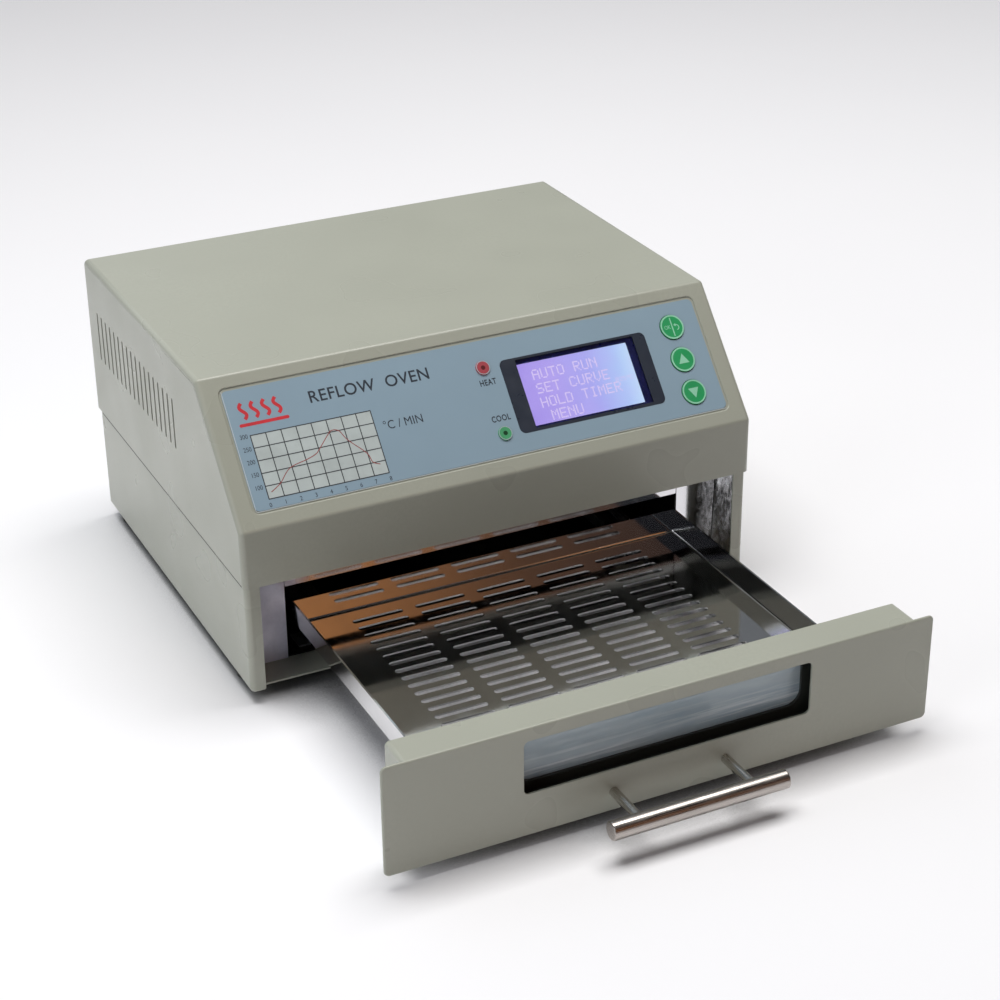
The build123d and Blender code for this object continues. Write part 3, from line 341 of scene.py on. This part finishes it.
LOOK = {
    "top_cover": PAINT, "base_shell": PAINT, "drawer_front": PAINT, "back_panel": PAINT_REAR,
    "rubber_feet": RUBBER, "foot_screws": SCREW, "cover_screws": SCREW, "fan_screws": SCREW,
    "tray_screws": SCREW, "handle_screws": SCREW, "chamber_front_plate": CHAMBER_PLATE,
    "chamber_liner": LINER, "insulation_blanket": FIBRE, "chamber_case": ZINC,
    "heater_tubes": QUARTZ, "heater_coils": COIL, "heater_end_caps": CERAMIC,
    "heater_brackets": ZINC, "reflector": PLATE, "thermocouples": TC_STEEL, "exhaust_duct": ZINC,
    "window_frame": BLACK, "window_glass": WINDOW, "glass_retainer": ZINC,
    "drawer_liner": LINER_BRIGHT, "tray": MIRROR, "handle_bar": HANDLE, "handle_posts": POSTS,
    "left_slide_outer": ZINC, "left_slide_middle": ZINC, "left_slide_inner": ZINC,
    "right_slide_outer": ZINC, "right_slide_middle": ZINC, "right_slide_inner": ZINC,
    "slide_brackets": ZINC, "overlay_panel": OVERLAY, "lcd_bezel": BEZEL, "lcd_glass": LCDGLASS,
    "lcd_module": BOARD, "heat_led": RED_LENS, "cool_led": GREEN_LENS, "button_ok": KEY_GREEN,
    "button_up": KEY_GREEN, "button_down": KEY_GREEN, "keypad_board": BOARD,
    "electronics_shelf": ZINC, "control_board": BOARD, "transformer": IRON, "heat_sink": ALU,
    "terminal_block": BLACK_PL, "wiring_harness": WIRE, "exhaust_fan_frame": BLACK_PL,
    "exhaust_fan_rotor": BLACK_PL, "exhaust_fan_guard": SCREW, "power_inlet": BLACK_PL,
    "fuse_drawer": BLACK_PL, "power_switch_housing": BLACK_PL, "power_switch_rocker": BLACK_PL,
}
for name, o in NODES.items():
    if name in LOOK:
        o.data.materials.clear()
        o.data.materials.append(LOOK[name])


# sheet edges are slightly broken, as cut and coated metal is
for name, width in (("top_cover", 0.00035), ("base_shell", 0.00035), ("drawer_front", 0.0003), ("tray", 0.00022)):
    o = NODES[name]
    weld = o.modifiers.new("weld", "WELD")
    weld.merge_threshold = 0.000004
    bev = o.modifiers.new("broken_edge", "BEVEL")
    bev.width = width
    bev.segments = 2
    bev.limit_method = "ANGLE"
    bev.angle_limit = math.radians(50)
    bev.use_clamp_overlap = True
    bev.harden_normals = True

# ------------------------------------------------------------------- helpers
def new_object(name, bm_or_mesh, mats, smooth=False):
    if isinstance(bm_or_mesh, bmesh.types.BMesh):
        me = bpy.data.meshes.new(name)
        bmesh.ops.recalc_face_normals(bm_or_mesh, faces=bm_or_mesh.faces)
        bm_or_mesh.to_mesh(me)
        bm_or_mesh.free()
    else:
        me = bm_or_mesh
    for m in mats:
        me.materials.append(m)
    if smooth:
        for p in me.polygons:
            p.use_smooth = True
    o = bpy.data.objects.new(name, me)
    bpy.context.scene.collection.objects.link(o)
    return o


def slab(bm, pts, n0, n1, mat=0):
    """A closed prism on the console between n0 and n1 from (x, s) corners in mm."""
    lo = [bm.verts.new(on_panel(x, s, n0)) for x, s in pts]
    hi = [bm.verts.new(on_panel(x, s, n1)) for x, s in pts]
    k = len(pts)
    faces = [bm.faces.new(hi), bm.faces.new(list(reversed(lo)))]
    for i in range(k):
        j = (i + 1) % k
        faces.append(bm.faces.new((lo[i], lo[j], hi[j], hi[i])))
    for f in faces:
        f.material_index = mat
    return faces


def bar(bm, a, b, w, n0, n1, mat=0):
    """A straight printed line from a to b, w mm wide."""
    ax, ay = a
    bx, by = b
    dx, dy = bx - ax, by - ay
    L = math.hypot(dx, dy)
    ux, uy = dx / L, dy / L
    px, py = -uy * w / 2, ux * w / 2
    slab(bm, [(ax + px, ay + py), (ax - px, ay - py), (bx - px, by - py), (bx + px, by + py)], n0, n1, mat)


def ribbon(bm, pts, w, n0, n1, mat=0):
    """A printed line through pts as one closed strip of width w."""
    k = len(pts)
    left, right = [], []
    for i, (x, y) in enumerate(pts):
        x0, y0 = pts[max(0, i - 1)]
        x1, y1 = pts[min(k - 1, i + 1)]
        dx, dy = x1 - x0, y1 - y0
        L = math.hypot(dx, dy)
        nx, ny = -dy / L * w / 2, dx / L * w / 2
        left.append((x + nx, y + ny))
        right.append((x - nx, y - ny))
    rows = []
    for seq, n in ((left, n0), (left, n1), (right, n1), (right, n0)):
        rows.append([bm.verts.new(on_panel(x, s, n)) for x, s in seq])
    for i in range(k - 1):
        for a in range(4):
            b = (a + 1) % 4
            f = bm.faces.new((rows[a][i], rows[a][i + 1], rows[b][i + 1], rows[b][i]))
            f.material_index = mat
    for i in (0, k - 1):
        f = bm.faces.new([rows[a][i] for a in range(4)])
        f.material_index = mat


def smooth_path(pts, steps=8):
    """Catmull-Rom through pts."""
    out = []
    n = len(pts)
    for i in range(n - 1):
        p0, p1, p2, p3 = pts[max(0, i - 1)], pts[i], pts[i + 1], pts[min(n - 1, i + 2)]
        for t in range(steps):
            u = t / steps
            q = []
            for c in range(2):
                q.append(0.5 * ((2 * p1[c]) + (-p0[c] + p2[c]) * u
                                + (2 * p0[c] - 5 * p1[c] + 4 * p2[c] - p3[c]) * u * u
                                + (-p0[c] + 3 * p1[c] - 3 * p2[c] + p3[c]) * u ** 3))
            out.append(tuple(q))
    out.append(pts[-1])
    return out


def disc(cx, cy, r, k=48, a0=0.0, a1=2 * math.pi, closed=True):
    n = k if closed else k + 1
    return [(cx + r * math.cos(a0 + (a1 - a0) * i / k), cy + r * math.sin(a0 + (a1 - a0) * i / k))
            for i in range(n)]


def ring(bm, cx, cy, r0, r1, n0, n1, mat=0, k=56):
    inner0 = [bm.verts.new(on_panel(x, s, n0)) for x, s in disc(cx, cy, r0, k)]
    inner1 = [bm.verts.new(on_panel(x, s, n1)) for x, s in disc(cx, cy, r0, k)]
    outer0 = [bm.verts.new(on_panel(x, s, n0)) for x, s in disc(cx, cy, r1, k)]
    outer1 = [bm.verts.new(on_panel(x, s, n1)) for x, s in disc(cx, cy, r1, k)]
    for i in range(k):
        j = (i + 1) % k
        for q in ((inner1[i], inner1[j], outer1[j], outer1[i]), (inner0[j], inner0[i], outer0[i], outer0[j]),
                  (inner0[i], inner0[j], inner1[j], inner1[i]), (outer0[j], outer0[i], outer1[i], outer1[j])):
            f = bm.faces.new(q)
            f.material_index = mat


def rounded(x0, x1, y0, y1, r, k=8):
    pts = []
    for cx, cy, a in ((x1 - r, y0 + r, -90), (x1 - r, y1 - r, 0), (x0 + r, y1 - r, 90), (x0 + r, y0 + r, 180)):
        for i in range(k + 1):
            t = math.radians(a + 90 * i / k)
            pts.append((cx + r * math.cos(t), cy + r * math.sin(t)))
    return pts


def lettering(text, x, s, height, n0, depth, mat, name, width=1.0, spacing=1.0, align="LEFT", shear=0.0, weight=0.0):
    """Printed lettering on the console: an extruded text turned into a mesh."""
    cu = bpy.data.curves.new(name, "FONT")
    cu.body = text
    cu.size = height / 1000 / 0.70
    cu.extrude = depth / 2000
    cu.offset = weight / 1000
    cu.space_character = spacing
    cu.align_x = align
    cu.shear = shear
    cu.resolution_u = 4
    o = bpy.data.objects.new(name, cu)
    bpy.context.scene.collection.objects.link(o)
    basis = Matrix((Vector((1, 0, 0)), S_DIR, N_DIR)).transposed().to_4x4()
    o.matrix_world = Matrix.Translation(on_panel(x, s, n0 + depth / 2)) @ basis @ Matrix.Diagonal((width, 1, 1, 1))
    bpy.context.view_layer.update()
    dg = bpy.context.evaluated_depsgraph_get()
    me = bpy.data.meshes.new_from_object(o.evaluated_get(dg))
    me.transform(o.matrix_world)
    bpy.data.objects.remove(o)
    me.materials.clear()
    ob = new_object(name, me, [mat])
    return ob


def join(objs, name):
    bpy.ops.object.select_all(action="DESELECT")
    for o in objs:
        o.select_set(True)
    bpy.context.view_layer.objects.active = objs[0]
    bpy.ops.object.join()
    objs[0].name = name
    objs[0].data.name = name
    return objs[0]


# ------------------------------------------------------------------- printing
INK = plastic("ink_black", rgb(34, 44, 56), 0.5, 0.02, 3000)
INK_RED = plastic("ink_red", rgb(205, 40, 52), 0.5, 0.02, 3000)
INK_PALE = plastic("chart_ground", rgb(185, 195, 195), 0.45, 0.03, 3000)
GRAPH_RED = plastic("chart_red", rgb(150, 70, 70), 0.5, 0.02, 3000)
INK_GRID = plastic("ink_grid", rgb(50, 55, 60), 0.5, 0.02, 3000)
# painted highlight: pale colour for the line along the overlay film's lower and left edges
RIM_HIGHLIGHT = plastic("overlay_rim", rgb(196, 205, 210), 0.4, 0.02, 3000)

TOP_N = -0.3                     # top of the overlay film
G0, G1 = TOP_N + 0.005, TOP_N + 0.03

# chart ground
GX0, GX1, GS0, GS1 = -133.9, -65.5, 15.3, 51.0
bm = bmesh.new()
slab(bm, [(GX0, GS0), (GX1, GS0), (GX1, GS1), (GX0, GS1)], G0, G1)
chart_ground = new_object("chart_ground", bm, [INK_PALE])
# grid and curve
bm = bmesh.new()
for i in range(9):
    x = GX0 + (GX1 - GX0) * i / 8
    bar(bm, (x, GS0 - 0.2), (x, GS1 + 0.2), 0.55, G1 + 0.004, G1 + 0.02)
for j in range(6):
    s = GS0 + (GS1 - GS0) * j / 5
    bar(bm, (GX0 - 0.2, s), (GX1 + 0.2, s), 0.55, G1 + 0.010, G1 + 0.026)
chart_grid = new_object("chart_grid", bm, [INK_GRID])
CURVE = [(0.27, 0.49), (1.0, 1.01), (1.84, 1.96), (3.09, 2.34), (3.70, 2.58), (4.04, 2.90), (4.89, 3.90),
         (5.21, 4.12), (5.63, 3.95), (6.01, 3.13), (6.95, 1.85), (7.17, 1.07), (7.61, 0.79)]
pts = [(GX0 + (GX1 - GX0) * u / 8, GS0 + (GS1 - GS0) * v / 5) for u, v in CURVE]
bm = bmesh.new()
ribbon(bm, smooth_path(pts), 0.45, G1 + 0.028, G1 + 0.045)
chart_curve = new_object("chart_curve", bm, [GRAPH_RED])
nums = []
for j, t in enumerate(("100", "150", "200", "250", "300")):
    s = GS0 + (GS1 - GS0) * (j + 1) / 5 - 1.3
    nums.append(lettering(t, GX0 - 1.4, s, 2.5, TOP_N, 0.03, INK, f"axis_v{j}", 0.85, align="RIGHT"))
for i in range(9):
    x = GX0 + (GX1 - GX0) * i / 8
    nums.append(lettering(str(i), x, GS0 - 4.4, 2.4, TOP_N, 0.03, INK, f"axis_h{i}", 0.9, align="CENTER"))
chart_numbers = join(nums, "chart_numbers")

# generic heading, lamp names and a heat-wave mark
title = lettering("REFLOW  OVEN", -97, 61.9, 6.6, TOP_N, 0.03, INK, "panel_heading", 1.0, 1.06, weight=0.10)
heat_word = lettering("HEAT", 5.6, 51.4, 3.4, TOP_N, 0.03, INK, "word_heat", 0.78, 1.1, "CENTER", weight=0.10)
cool_word = lettering("COOL", 6.4, 30.0, 3.4, TOP_N, 0.03, INK, "word_cool", 0.78, 1.1, "CENTER", weight=0.10)
unit = lettering("\u00b0C / MIN", -61.0, 38.8, 4.8, TOP_N, 0.03, INK, "word_unit", 0.92, 1.0)
words = join([title, heat_word, cool_word, unit], "panel_words")
# painted highlight: a pale line along the lower and left edges of the overlay film
bm = bmesh.new()
bar(bm, (-142.2, 9.6), (142.2, 9.6), 0.35, TOP_N + 0.001, TOP_N + 0.012)
bar(bm, (-142.6, 10.0), (-142.6, 77.4), 0.35, TOP_N + 0.001, TOP_N + 0.012)
rim_highlight_line = new_object("overlay_rim_line", bm, [RIM_HIGHLIGHT])
bm = bmesh.new()
for i in range(4):
    x0 = -134 + i * 6.4
    wave = [(x0 + 1.5 * math.sin(t * 2 * math.pi / 9), 60.2 + t) for t in range(0, 10)]
    ribbon(bm, smooth_path(wave, 4), 1.9, G0, G1)
slab(bm, rounded(-138, -110, 56.2, 58.0, 0.9), G0, G1)
heat_mark = new_object("heat_mark", bm, [INK_RED])
for o in (chart_ground, chart_grid, chart_curve, chart_numbers, words, heat_mark, rim_highlight_line):
    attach(o, "housing")

# ------------------------------------------------------------------- display
SCREEN = Mat("display_lit")
SCREEN.set(Base_Color=(0.02, 0.02, 0.03, 1), Roughness=0.35)
sep = SCREEN.node("ShaderNodeSeparateXYZ")
SCREEN.link(SCREEN.tc.outputs["Object"], sep.inputs["Vector"])
across = SCREEN.range(sep.outputs["X"], 0.0, 1.0, 0.0253, 0.0939)
glow = SCREEN.ramp(across, [(0.0, rgb(170, 150, 232)), (0.28, rgb(176, 160, 236)), (0.62, rgb(172, 172, 240)),
                            (0.88, rgb(178, 202, 246)), (1.0, rgb(196, 222, 250))])
updown = SCREEN.range(sep.outputs["Z"], 0.0, 1.0, 0.1215, 0.1505)
mott = SCREEN.noise(60, 3, 0.5)
g2 = SCREEN.mix(SCREEN.range(mott, 0.0, 0.35, 0.4, 0.8), glow, rgb(196, 178, 246))
SCREEN.to("Emission Color", g2)
SCREEN.set(Emission_Strength=1.08)
SCREEN.normal(SCREEN.bump(SCREEN.noise(3000, 1, 0.5), 0.02, 0.00005))
SURROUND = plastic("display_surround", rgb(35, 40, 110), 0.3, 0.03, 2000)
PIXEL = Mat("display_pixel")
PIXEL.set(Base_Color=(0.05, 0.05, 0.06, 1), Roughness=0.4, Emission_Strength=1.0)
PIXEL.to("Emission Color", PIXEL.ramp(PIXEL.noise(300, 2, 0.5), [(0.3, rgb(222, 204, 248)), (0.8, rgb(232, 216, 252))]))

bm = bmesh.new()
slab(bm, [(20.0, 22.0), (102.6, 22.0), (102.6, 62.4), (20.0, 62.4)], -1.88, -1.80)
surround = new_object("display_surround", bm, [SURROUND])
bm = bmesh.new()
slab(bm, rounded(25.4, 94.6, 23.4, 59.7, 0.4, 3), -1.79, -1.76)
screen = new_object("display_screen", bm, [SCREEN.m])

GLYPHS = {
    "A": "0e11111f111111", "B": "1e11111e11111e", "C": "0e11101010110e", "D": "1e11111111111e",
    "E": "1f10101e10101f", "F": "1f10101e101010", "G": "0e11101713110f", "H": "1111111f111111",
    "I": "0e04040404040e", "L": "1010101010101f", "M": "111b1515111111", "N": "11191513111111",
    "O": "0e11111111110e", "P": "1e11111e101010", "R": "1e11111e141211", "S": "0f10100e01011e",
    "T": "1f040404040404", "U": "1111111111110e", "V": "11111111110a04", "Y": "11110a04040404",
    "0": "0e11131519110e", "1": "040c040404040e", "2": "0e11010204081f", "5": "1f101e0101110e",
    "*": "0609090600000000"[:14], ":": "00040400040400", " ": "00000000000000",
}


def pixels(bm, text, x, s, px, gap, n0, n1, bold=False):
    """Dot-matrix text: 5 x 7 cells of px mm with a small gap between dots."""
    cx = x
    for ch in text:
        rows = GLYPHS[ch]
        for r in range(7):
            bits = int(rows[2 * r:2 * r + 2], 16)
            for c in range(5):
                if bits >> (4 - c) & 1:
                    x0, s0 = cx + c * px, s + (6 - r) * px
                    slab(bm, [(x0, s0), (x0 + px - gap, s0), (x0 + px - gap, s0 + px - gap), (x0, s0 + px - gap)], n0, n1)
        cx += 6 * px
    return cx


bm = bmesh.new()
pixels(bm, "AUTO RUN", 33.0, 49.2, 0.86, 0.10, -1.755, -1.73)
pixels(bm, "SET CURVE", 33.0, 40.9, 0.86, 0.10, -1.755, -1.73)
pixels(bm, "HOLD TIMER", 33.0, 32.6, 0.86, 0.10, -1.755, -1.73)
pixels(bm, "MENU", 37.0, 24.6, 0.86, 0.10, -1.755, -1.73)
pixels(bm, "025*C", 81.4, 38.2, 0.38, 0.05, -1.755, -1.73)
screen_text = new_object("display_text", bm, [PIXEL.m])
for o in (surround, screen, screen_text):
    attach(o, "housing")

# ---------------------------------------------------------------------- keys
PALE = plastic("key_print", rgb(150, 214, 182), 0.4, 0.02, 3000)
KEY_X = 125.6
KEYS = {"button_ok": (62.7, "ok_key"), "button_up": (42.7, "up_key"), "button_down": (22.7, "down_key")}
for node, (s, bod) in KEYS.items():
    bm = bmesh.new()
    k0, k1 = 0.4, 0.43
    ring(bm, KEY_X, s, 6.35, 7.25, k0, k1)
    if node == "button_up":
        slab(bm, [(KEY_X - 3.3, s - 2.4), (KEY_X + 3.3, s - 2.4), (KEY_X, s + 3.6)], k0, k1)
    elif node == "button_down":
        slab(bm, [(KEY_X - 3.3, s + 2.4), (KEY_X, s - 3.6), (KEY_X + 3.3, s + 2.4)], k0, k1)
    else:
        bar(bm, (KEY_X, s - 5.6), (KEY_X, s + 5.6), 0.7, k0, k1)
        # back arrow on the right half
        arc = disc(KEY_X + 2.6, s - 0.6, 1.5, 10, math.radians(-90), math.radians(100), closed=False)
        ribbon(bm, arc, 0.5, k0, k1)
        slab(bm, [(KEY_X + 0.9, s + 0.9), (KEY_X + 2.5, s - 0.1), (KEY_X + 2.5, s + 1.9)], k0, k1)
    mark = new_object(node + "_mark", bm, [PALE])
    if node == "button_ok":
        okw = lettering("OK", KEY_X - 3.1, s - 1.0, 2.4, k0 - 0.01, 0.04, PALE, "ok_word", 0.8, 1.0, "CENTER")
        mark = join([mark, okw], node + "_mark")
    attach(mark, bod)

# lamps: dark lens eye inside each ring
EYE_R = plastic("lamp_eye_red", rgb(92, 16, 24), 0.4, 0.01)
EYE_G = plastic("lamp_eye_green", rgb(6, 62, 32), 0.4, 0.01)
HALO = plastic("lamp_halo", rgb(172, 184, 192), 0.4, 0.02, 3000)
for nm, lx, ls, lens, m, rr in (("heat_eye", 5.2, 61.6, RED_LENS, EYE_R, 4.2), ("cool_eye", 6.0, 22.7, GREEN_LENS, EYE_G, 4.1)):
    bm = bmesh.new()
    slab(bm, disc(lx, ls, rr - 0.60, 48), 0.500, 0.512, 0)
    slab(bm, disc(lx, ls, 1.3, 32), 0.513, 0.525, 1)
    ring(bm, lx, ls, rr - 0.58, rr - 0.2, 0.500, 0.514, 2)
    eye = new_object(nm, bm, [lens, m, HALO])
    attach(eye, "housing")

# ---------------------------------------------------------------------- foil
FOIL = Mat("crumpled_foil")
FOIL.set(Metallic=1.0)
FOIL.to("Base Color", FOIL.mix(FOIL.range(FOIL.noise(180, 4, 0.6), 0, 1, 0.3, 0.7), (0.70, 0.70, 0.69, 1), (0.86, 0.86, 0.86, 1)))
FOIL.to("Roughness", FOIL.range(FOIL.noise(260, 4, 0.6), 0.12, 0.32, 0.3, 0.7))
FOIL.normal(FOIL.bump(FOIL.noise(420, 4, 0.7), 0.25, 0.0006))


def crumple(y, z, seed):
    v = Vector((y * 0.16 + seed, z * 0.045, seed * 0.7))
    a = noise.noise(v) * 0.9
    b = abs(noise.noise(Vector((y * 0.42, z * 0.12 + seed, 3.1)))) * 0.9
    c = noise.noise(Vector((y * 0.9, z * 0.5, seed + 9.0))) * 0.25
    return a + b + c


for side_name, sx in (("left", -1), ("right", 1)):
    bm = bmesh.new()
    ny, nz = 26, 60
    front, back = [], []
    for iz in range(nz + 1):
        rf, rb = [], []
        for iy in range(ny + 1):
            y = 3.2 + (26.2 - 3.2) * iy / ny
            z = 1.6 + (96.0 - 1.6) * iz / nz
            d = crumple(y, z, 2.0 if sx > 0 else 6.0)
            edge = min(1.0, iy / 3.0, (ny - iy) / 3.0)
            x = 150.9 + 0.9 * d * edge
            lean = 0.0
            if iy > ny - 7:                      # the free edge curls over the plate's edge
                t = (iy - (ny - 7)) / 7.0
                lean = -3.6 * t * t * (1 - z / 96.0)
            x = min(152.0, x + lean)
            rf.append(bm.verts.new(body(sx * x, y, z)))
            rb.append(bm.verts.new(body(sx * (x + 0.12), y + 0.02, z)))
        front.append(rf)
        back.append(rb)
    for iz in range(nz):
        for iy in range(ny):
            bm.faces.new((front[iz][iy], front[iz][iy + 1], front[iz + 1][iy + 1], front[iz + 1][iy]))
            bm.faces.new((back[iz][iy + 1], back[iz][iy], back[iz + 1][iy], back[iz + 1][iy + 1]))
    for iz in range(nz):
        for iy in (0, ny):
            bm.faces.new((front[iz][iy], front[iz + 1][iy], back[iz + 1][iy], back[iz][iy]))
    for iy in range(ny):
        for iz in (0, nz):
            bm.faces.new((front[iz][iy], back[iz][iy], back[iz][iy + 1], front[iz][iy + 1]))
    foil = new_object(f"foil_{side_name}", bm, [FOIL.m], smooth=False)
    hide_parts(f"side_foil_{side_name}")
    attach(foil, "housing")

# painted shade: a thin dark strip below each cheek of the cover stands in for the shadow under the lap seam
SEAM_Z = 66.5
SEAM_SHADE = plastic("seam_shadow", rgb(66, 66, 62), 0.6, 0.05)
for side_name, sx in (("left", -1), ("right", 1)):
    bm = bmesh.new()
    za, zb = SEAM_Z - 2.8, SEAM_Z - 1.2
    xs = (153.80, 153.86)
    ring0 = [bm.verts.new(body(sx * x, 6.0, z)) for x, z in ((xs[0], za), (xs[1], za), (xs[1], zb), (xs[0], zb))]
    ring1 = [bm.verts.new(body(sx * x, 252.0, z)) for x, z in ((xs[0], za), (xs[1], za), (xs[1], zb), (xs[0], zb))]
    for a in range(4):
        b = (a + 1) % 4
        bm.faces.new((ring0[a], ring0[b], ring1[b], ring1[a]))
    bm.faces.new(list(reversed(ring0)))
    bm.faces.new(ring1)
    seam_shade_strip = new_object(f"cheek_seam_shadow_{side_name}", bm, [SEAM_SHADE])
    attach(seam_shade_strip, "housing")

# --------------------------------------------------------------------- stage
FLOOR = Mat("pale_floor")
FLOOR.to("Base Color", FLOOR.mix(FLOOR.noise(3, 3, 0.5), (0.885, 0.88, 0.91, 1), (0.91, 0.905, 0.93, 1)))
FLOOR.set(Roughness=0.75)
# painted shade: the floor colour is mixed towards dark grey where the AO node finds geometry close above, under the
# drawer tray and along the base
ao = FLOOR.node("ShaderNodeAmbientOcclusion", samples=8)
ao.inputs["Distance"].default_value = 0.06
painted_shade_under = FLOOR.range(ao.outputs["AO"], 1.0, 0.0, 0.30, 0.52)
FLOOR.to("Base Color", FLOOR.mix(painted_shade_under, FLOOR.p.inputs["Base Color"].links[0].from_socket, (0.13, 0.13, 0.13, 1)))
bm = bmesh.new()
grid = [[bm.verts.new((x * 1.0, y * 1.0, 0.0)) for x in range(-4, 5)] for y in range(-4, 5)]
for a in range(8):
    for b in range(8):
        bm.faces.new((grid[a][b], grid[a][b + 1], grid[a + 1][b + 1], grid[a + 1][b]))
floor = new_object("studio_floor", bm, [FLOOR.m])

# --------------------------------------------------------------------- world
world = bpy.data.worlds.new("studio")
bpy.context.scene.world = world
world.use_nodes = True
wt = world.node_tree
wt.nodes.clear()
wo = wt.nodes.new("ShaderNodeOutputWorld")
cam_bg = wt.nodes.new("ShaderNodeBackground")
cam_bg.inputs["Color"].default_value = (1, 1, 1, 1)
cam_bg.inputs["Strength"].default_value = 1.0
env_bg = wt.nodes.new("ShaderNodeBackground")
env_bg.inputs["Strength"].default_value = 1.0
mixer = wt.nodes.new("ShaderNodeMixShader")
lp = wt.nodes.new("ShaderNodeLightPath")
wt.links.new(lp.outputs["Is Camera Ray"], mixer.inputs["Fac"])
wt.links.new(env_bg.outputs[0], mixer.inputs[1])
wt.links.new(cam_bg.outputs[0], mixer.inputs[2])
wt.links.new(mixer.outputs[0], wo.inputs["Surface"])
tc = wt.nodes.new("ShaderNodeTexCoord")
sp = wt.nodes.new("ShaderNodeSeparateXYZ")
wt.links.new(tc.outputs["Generated"], sp.inputs[0])


def wmath(op, a, b=None, c=None):
    n = wt.nodes.new("ShaderNodeMath")
    n.operation = op
    for i, v in enumerate((a, b, c)):
        if v is None:
            continue
        if isinstance(v, (int, float)):
            n.inputs[i].default_value = v
        else:
            wt.links.new(v, n.inputs[i])
    return n.outputs[0]


def wband(value, lo, hi, soft):
    """1 between lo and hi, fading over soft each side."""
    a = wt.nodes.new("ShaderNodeMapRange")
    a.interpolation_type = "SMOOTHSTEP"
    for k, v in (("From Min", lo - soft), ("From Max", lo + soft), ("To Min", 0.0), ("To Max", 1.0)):
        a.inputs[k].default_value = v
    wt.links.new(value, a.inputs["Value"])
    b = wt.nodes.new("ShaderNodeMapRange")
    b.interpolation_type = "SMOOTHSTEP"
    for k, v in (("From Min", hi - soft), ("From Max", hi + soft), ("To Min", 1.0), ("To Max", 0.0)):
        b.inputs[k].default_value = v
    wt.links.new(value, b.inputs["Value"])
    return wmath("MULTIPLY", a.outputs[0], b.outputs[0])


neg_y = wmath("MULTIPLY", sp.outputs["Y"], -1.0)
azim = wmath("ARCTAN2", sp.outputs["X"], neg_y)          # 0 towards -Y, + towards +X
elev = wmath("ARCSINE", sp.outputs["Z"])


def wramp(value, stops):
    r = wt.nodes.new("ShaderNodeValToRGB")
    els = r.color_ramp.elements
    while len(els) > 1:
        els.remove(els[-1])
    els[0].position, els[0].color = stops[0][0], (stops[0][1],) * 3 + (1,)
    for pos, v in stops[1:]:
        els.new(pos).color = (v, v, v, 1)
    wt.links.new(value, r.inputs["Fac"])
    return r.outputs["Color"]


def wmix(fac, a, b):
    n = wt.nodes.new("ShaderNodeMix")
    n.data_type = "RGBA"
    wt.links.new(fac, n.inputs[0])
    for sock, v in ((n.inputs[6], a), (n.inputs[7], b)):
        if isinstance(v, tuple):
            sock.default_value = v
        else:
            wt.links.new(v, sock)
    return n.outputs[2]


# a warm wall in front and to the right, its edge fading out over ten degrees
deg = wmath("MULTIPLY", azim, 180 / math.pi / 90)         # 0..1 for 0..90 degrees
edge = wramp(deg, [(0.0, 0.0), (0.005, 1.0), (0.233, 1.0), (0.267, 0.5), (0.289, 0.25),
                   (0.322, 0.12), (0.344, 0.08), (0.42, 0.0)])
warm = wmath("MULTIPLY", edge, wband(elev, math.radians(8), math.radians(46), math.radians(5)))
rear = wmath("MULTIPLY", wband(elev, math.radians(6), math.radians(60), math.radians(6)),
             wmath("GREATER_THAN", sp.outputs["Y"], 0.15))
left_part = wt.nodes.new("ShaderNodeMapRange")
for key, v in (("From Min", 0.20), ("From Max", 0.36), ("To Min", 1.0), ("To Max", 0.22)):
    left_part.inputs[key].default_value = v
wt.links.new(sp.outputs["X"], left_part.inputs["Value"])
rear = wmath("MULTIPLY", rear, left_part.outputs["Result"])
low = wband(elev, math.radians(-95), math.radians(0), math.radians(4))
c0 = wmix(low, (0.026, 0.027, 0.032, 1), (0.05, 0.05, 0.055, 1))
c1 = wmix(warm, c0, (0.52, 0.225, 0.085, 1))
c2 = wmix(rear, c1, (0.68, 0.72, 0.76, 1))
wt.links.new(c2, env_bg.inputs["Color"])


# -------------------------------------------------------------------- lights
def area(name, loc, aim, size, power, color=(1, 1, 1), shape="RECTANGLE", size_y=None):
    li = bpy.data.lights.new(name, "AREA")
    li.shape = shape
    li.size = size
    li.size_y = size_y or size
    li.energy = power
    li.color = color
    o = bpy.data.objects.new(name, li)
    bpy.context.scene.collection.objects.link(o)
    o.location = loc
    o.rotation_euler = (Vector(aim) - Vector(loc)).to_track_quat("-Z", "Y").to_euler()
    return o


area("overhead", (0.1, 0.17, 2.3), (0.1, 0.17001, 0.0), 2.4, 57.5, (1.0, 0.995, 0.97), size_y=1.1)
area("left_fill", (-1.7, -0.75, 0.75), (-0.1, -0.05, 0.10), 0.9, 7, (0.94, 0.97, 1.0))

# -------------------------------------------------------------------- camera
A, E, ROLL = math.radians(-25.856), math.radians(27.069), math.radians(-0.623)
back = Vector((math.sin(A) * math.cos(E), -math.cos(A) * math.cos(E), math.sin(E)))
fwd = -back
right = fwd.cross(Vector((0, 0, 1))).normalized()
upv = right.cross(fwd)
R = right * math.cos(ROLL) + upv * math.sin(ROLL)
U = -right * math.sin(ROLL) + upv * math.cos(ROLL)
cam = bpy.data.cameras.new("camera")
cam.sensor_width = 36.0
cam.lens = 79.943
cam.clip_start = 0.05
cam.clip_end = 50
co = bpy.data.objects.new("camera", cam)
bpy.context.scene.collection.objects.link(co)
target = Vector((-0.00498, FY, 0.08356 + FH))
loc = target + back * 1.213353
co.matrix_world = Matrix.Translation(loc) @ Matrix((R, U, back)).transposed().to_4x4()
bpy.context.scene.camera = co

bpy.context.scene.view_settings.view_transform = "Standard"
bpy.context.scene.view_settings.look = "None"
bpy.context.scene.view_settings.exposure = 0.0
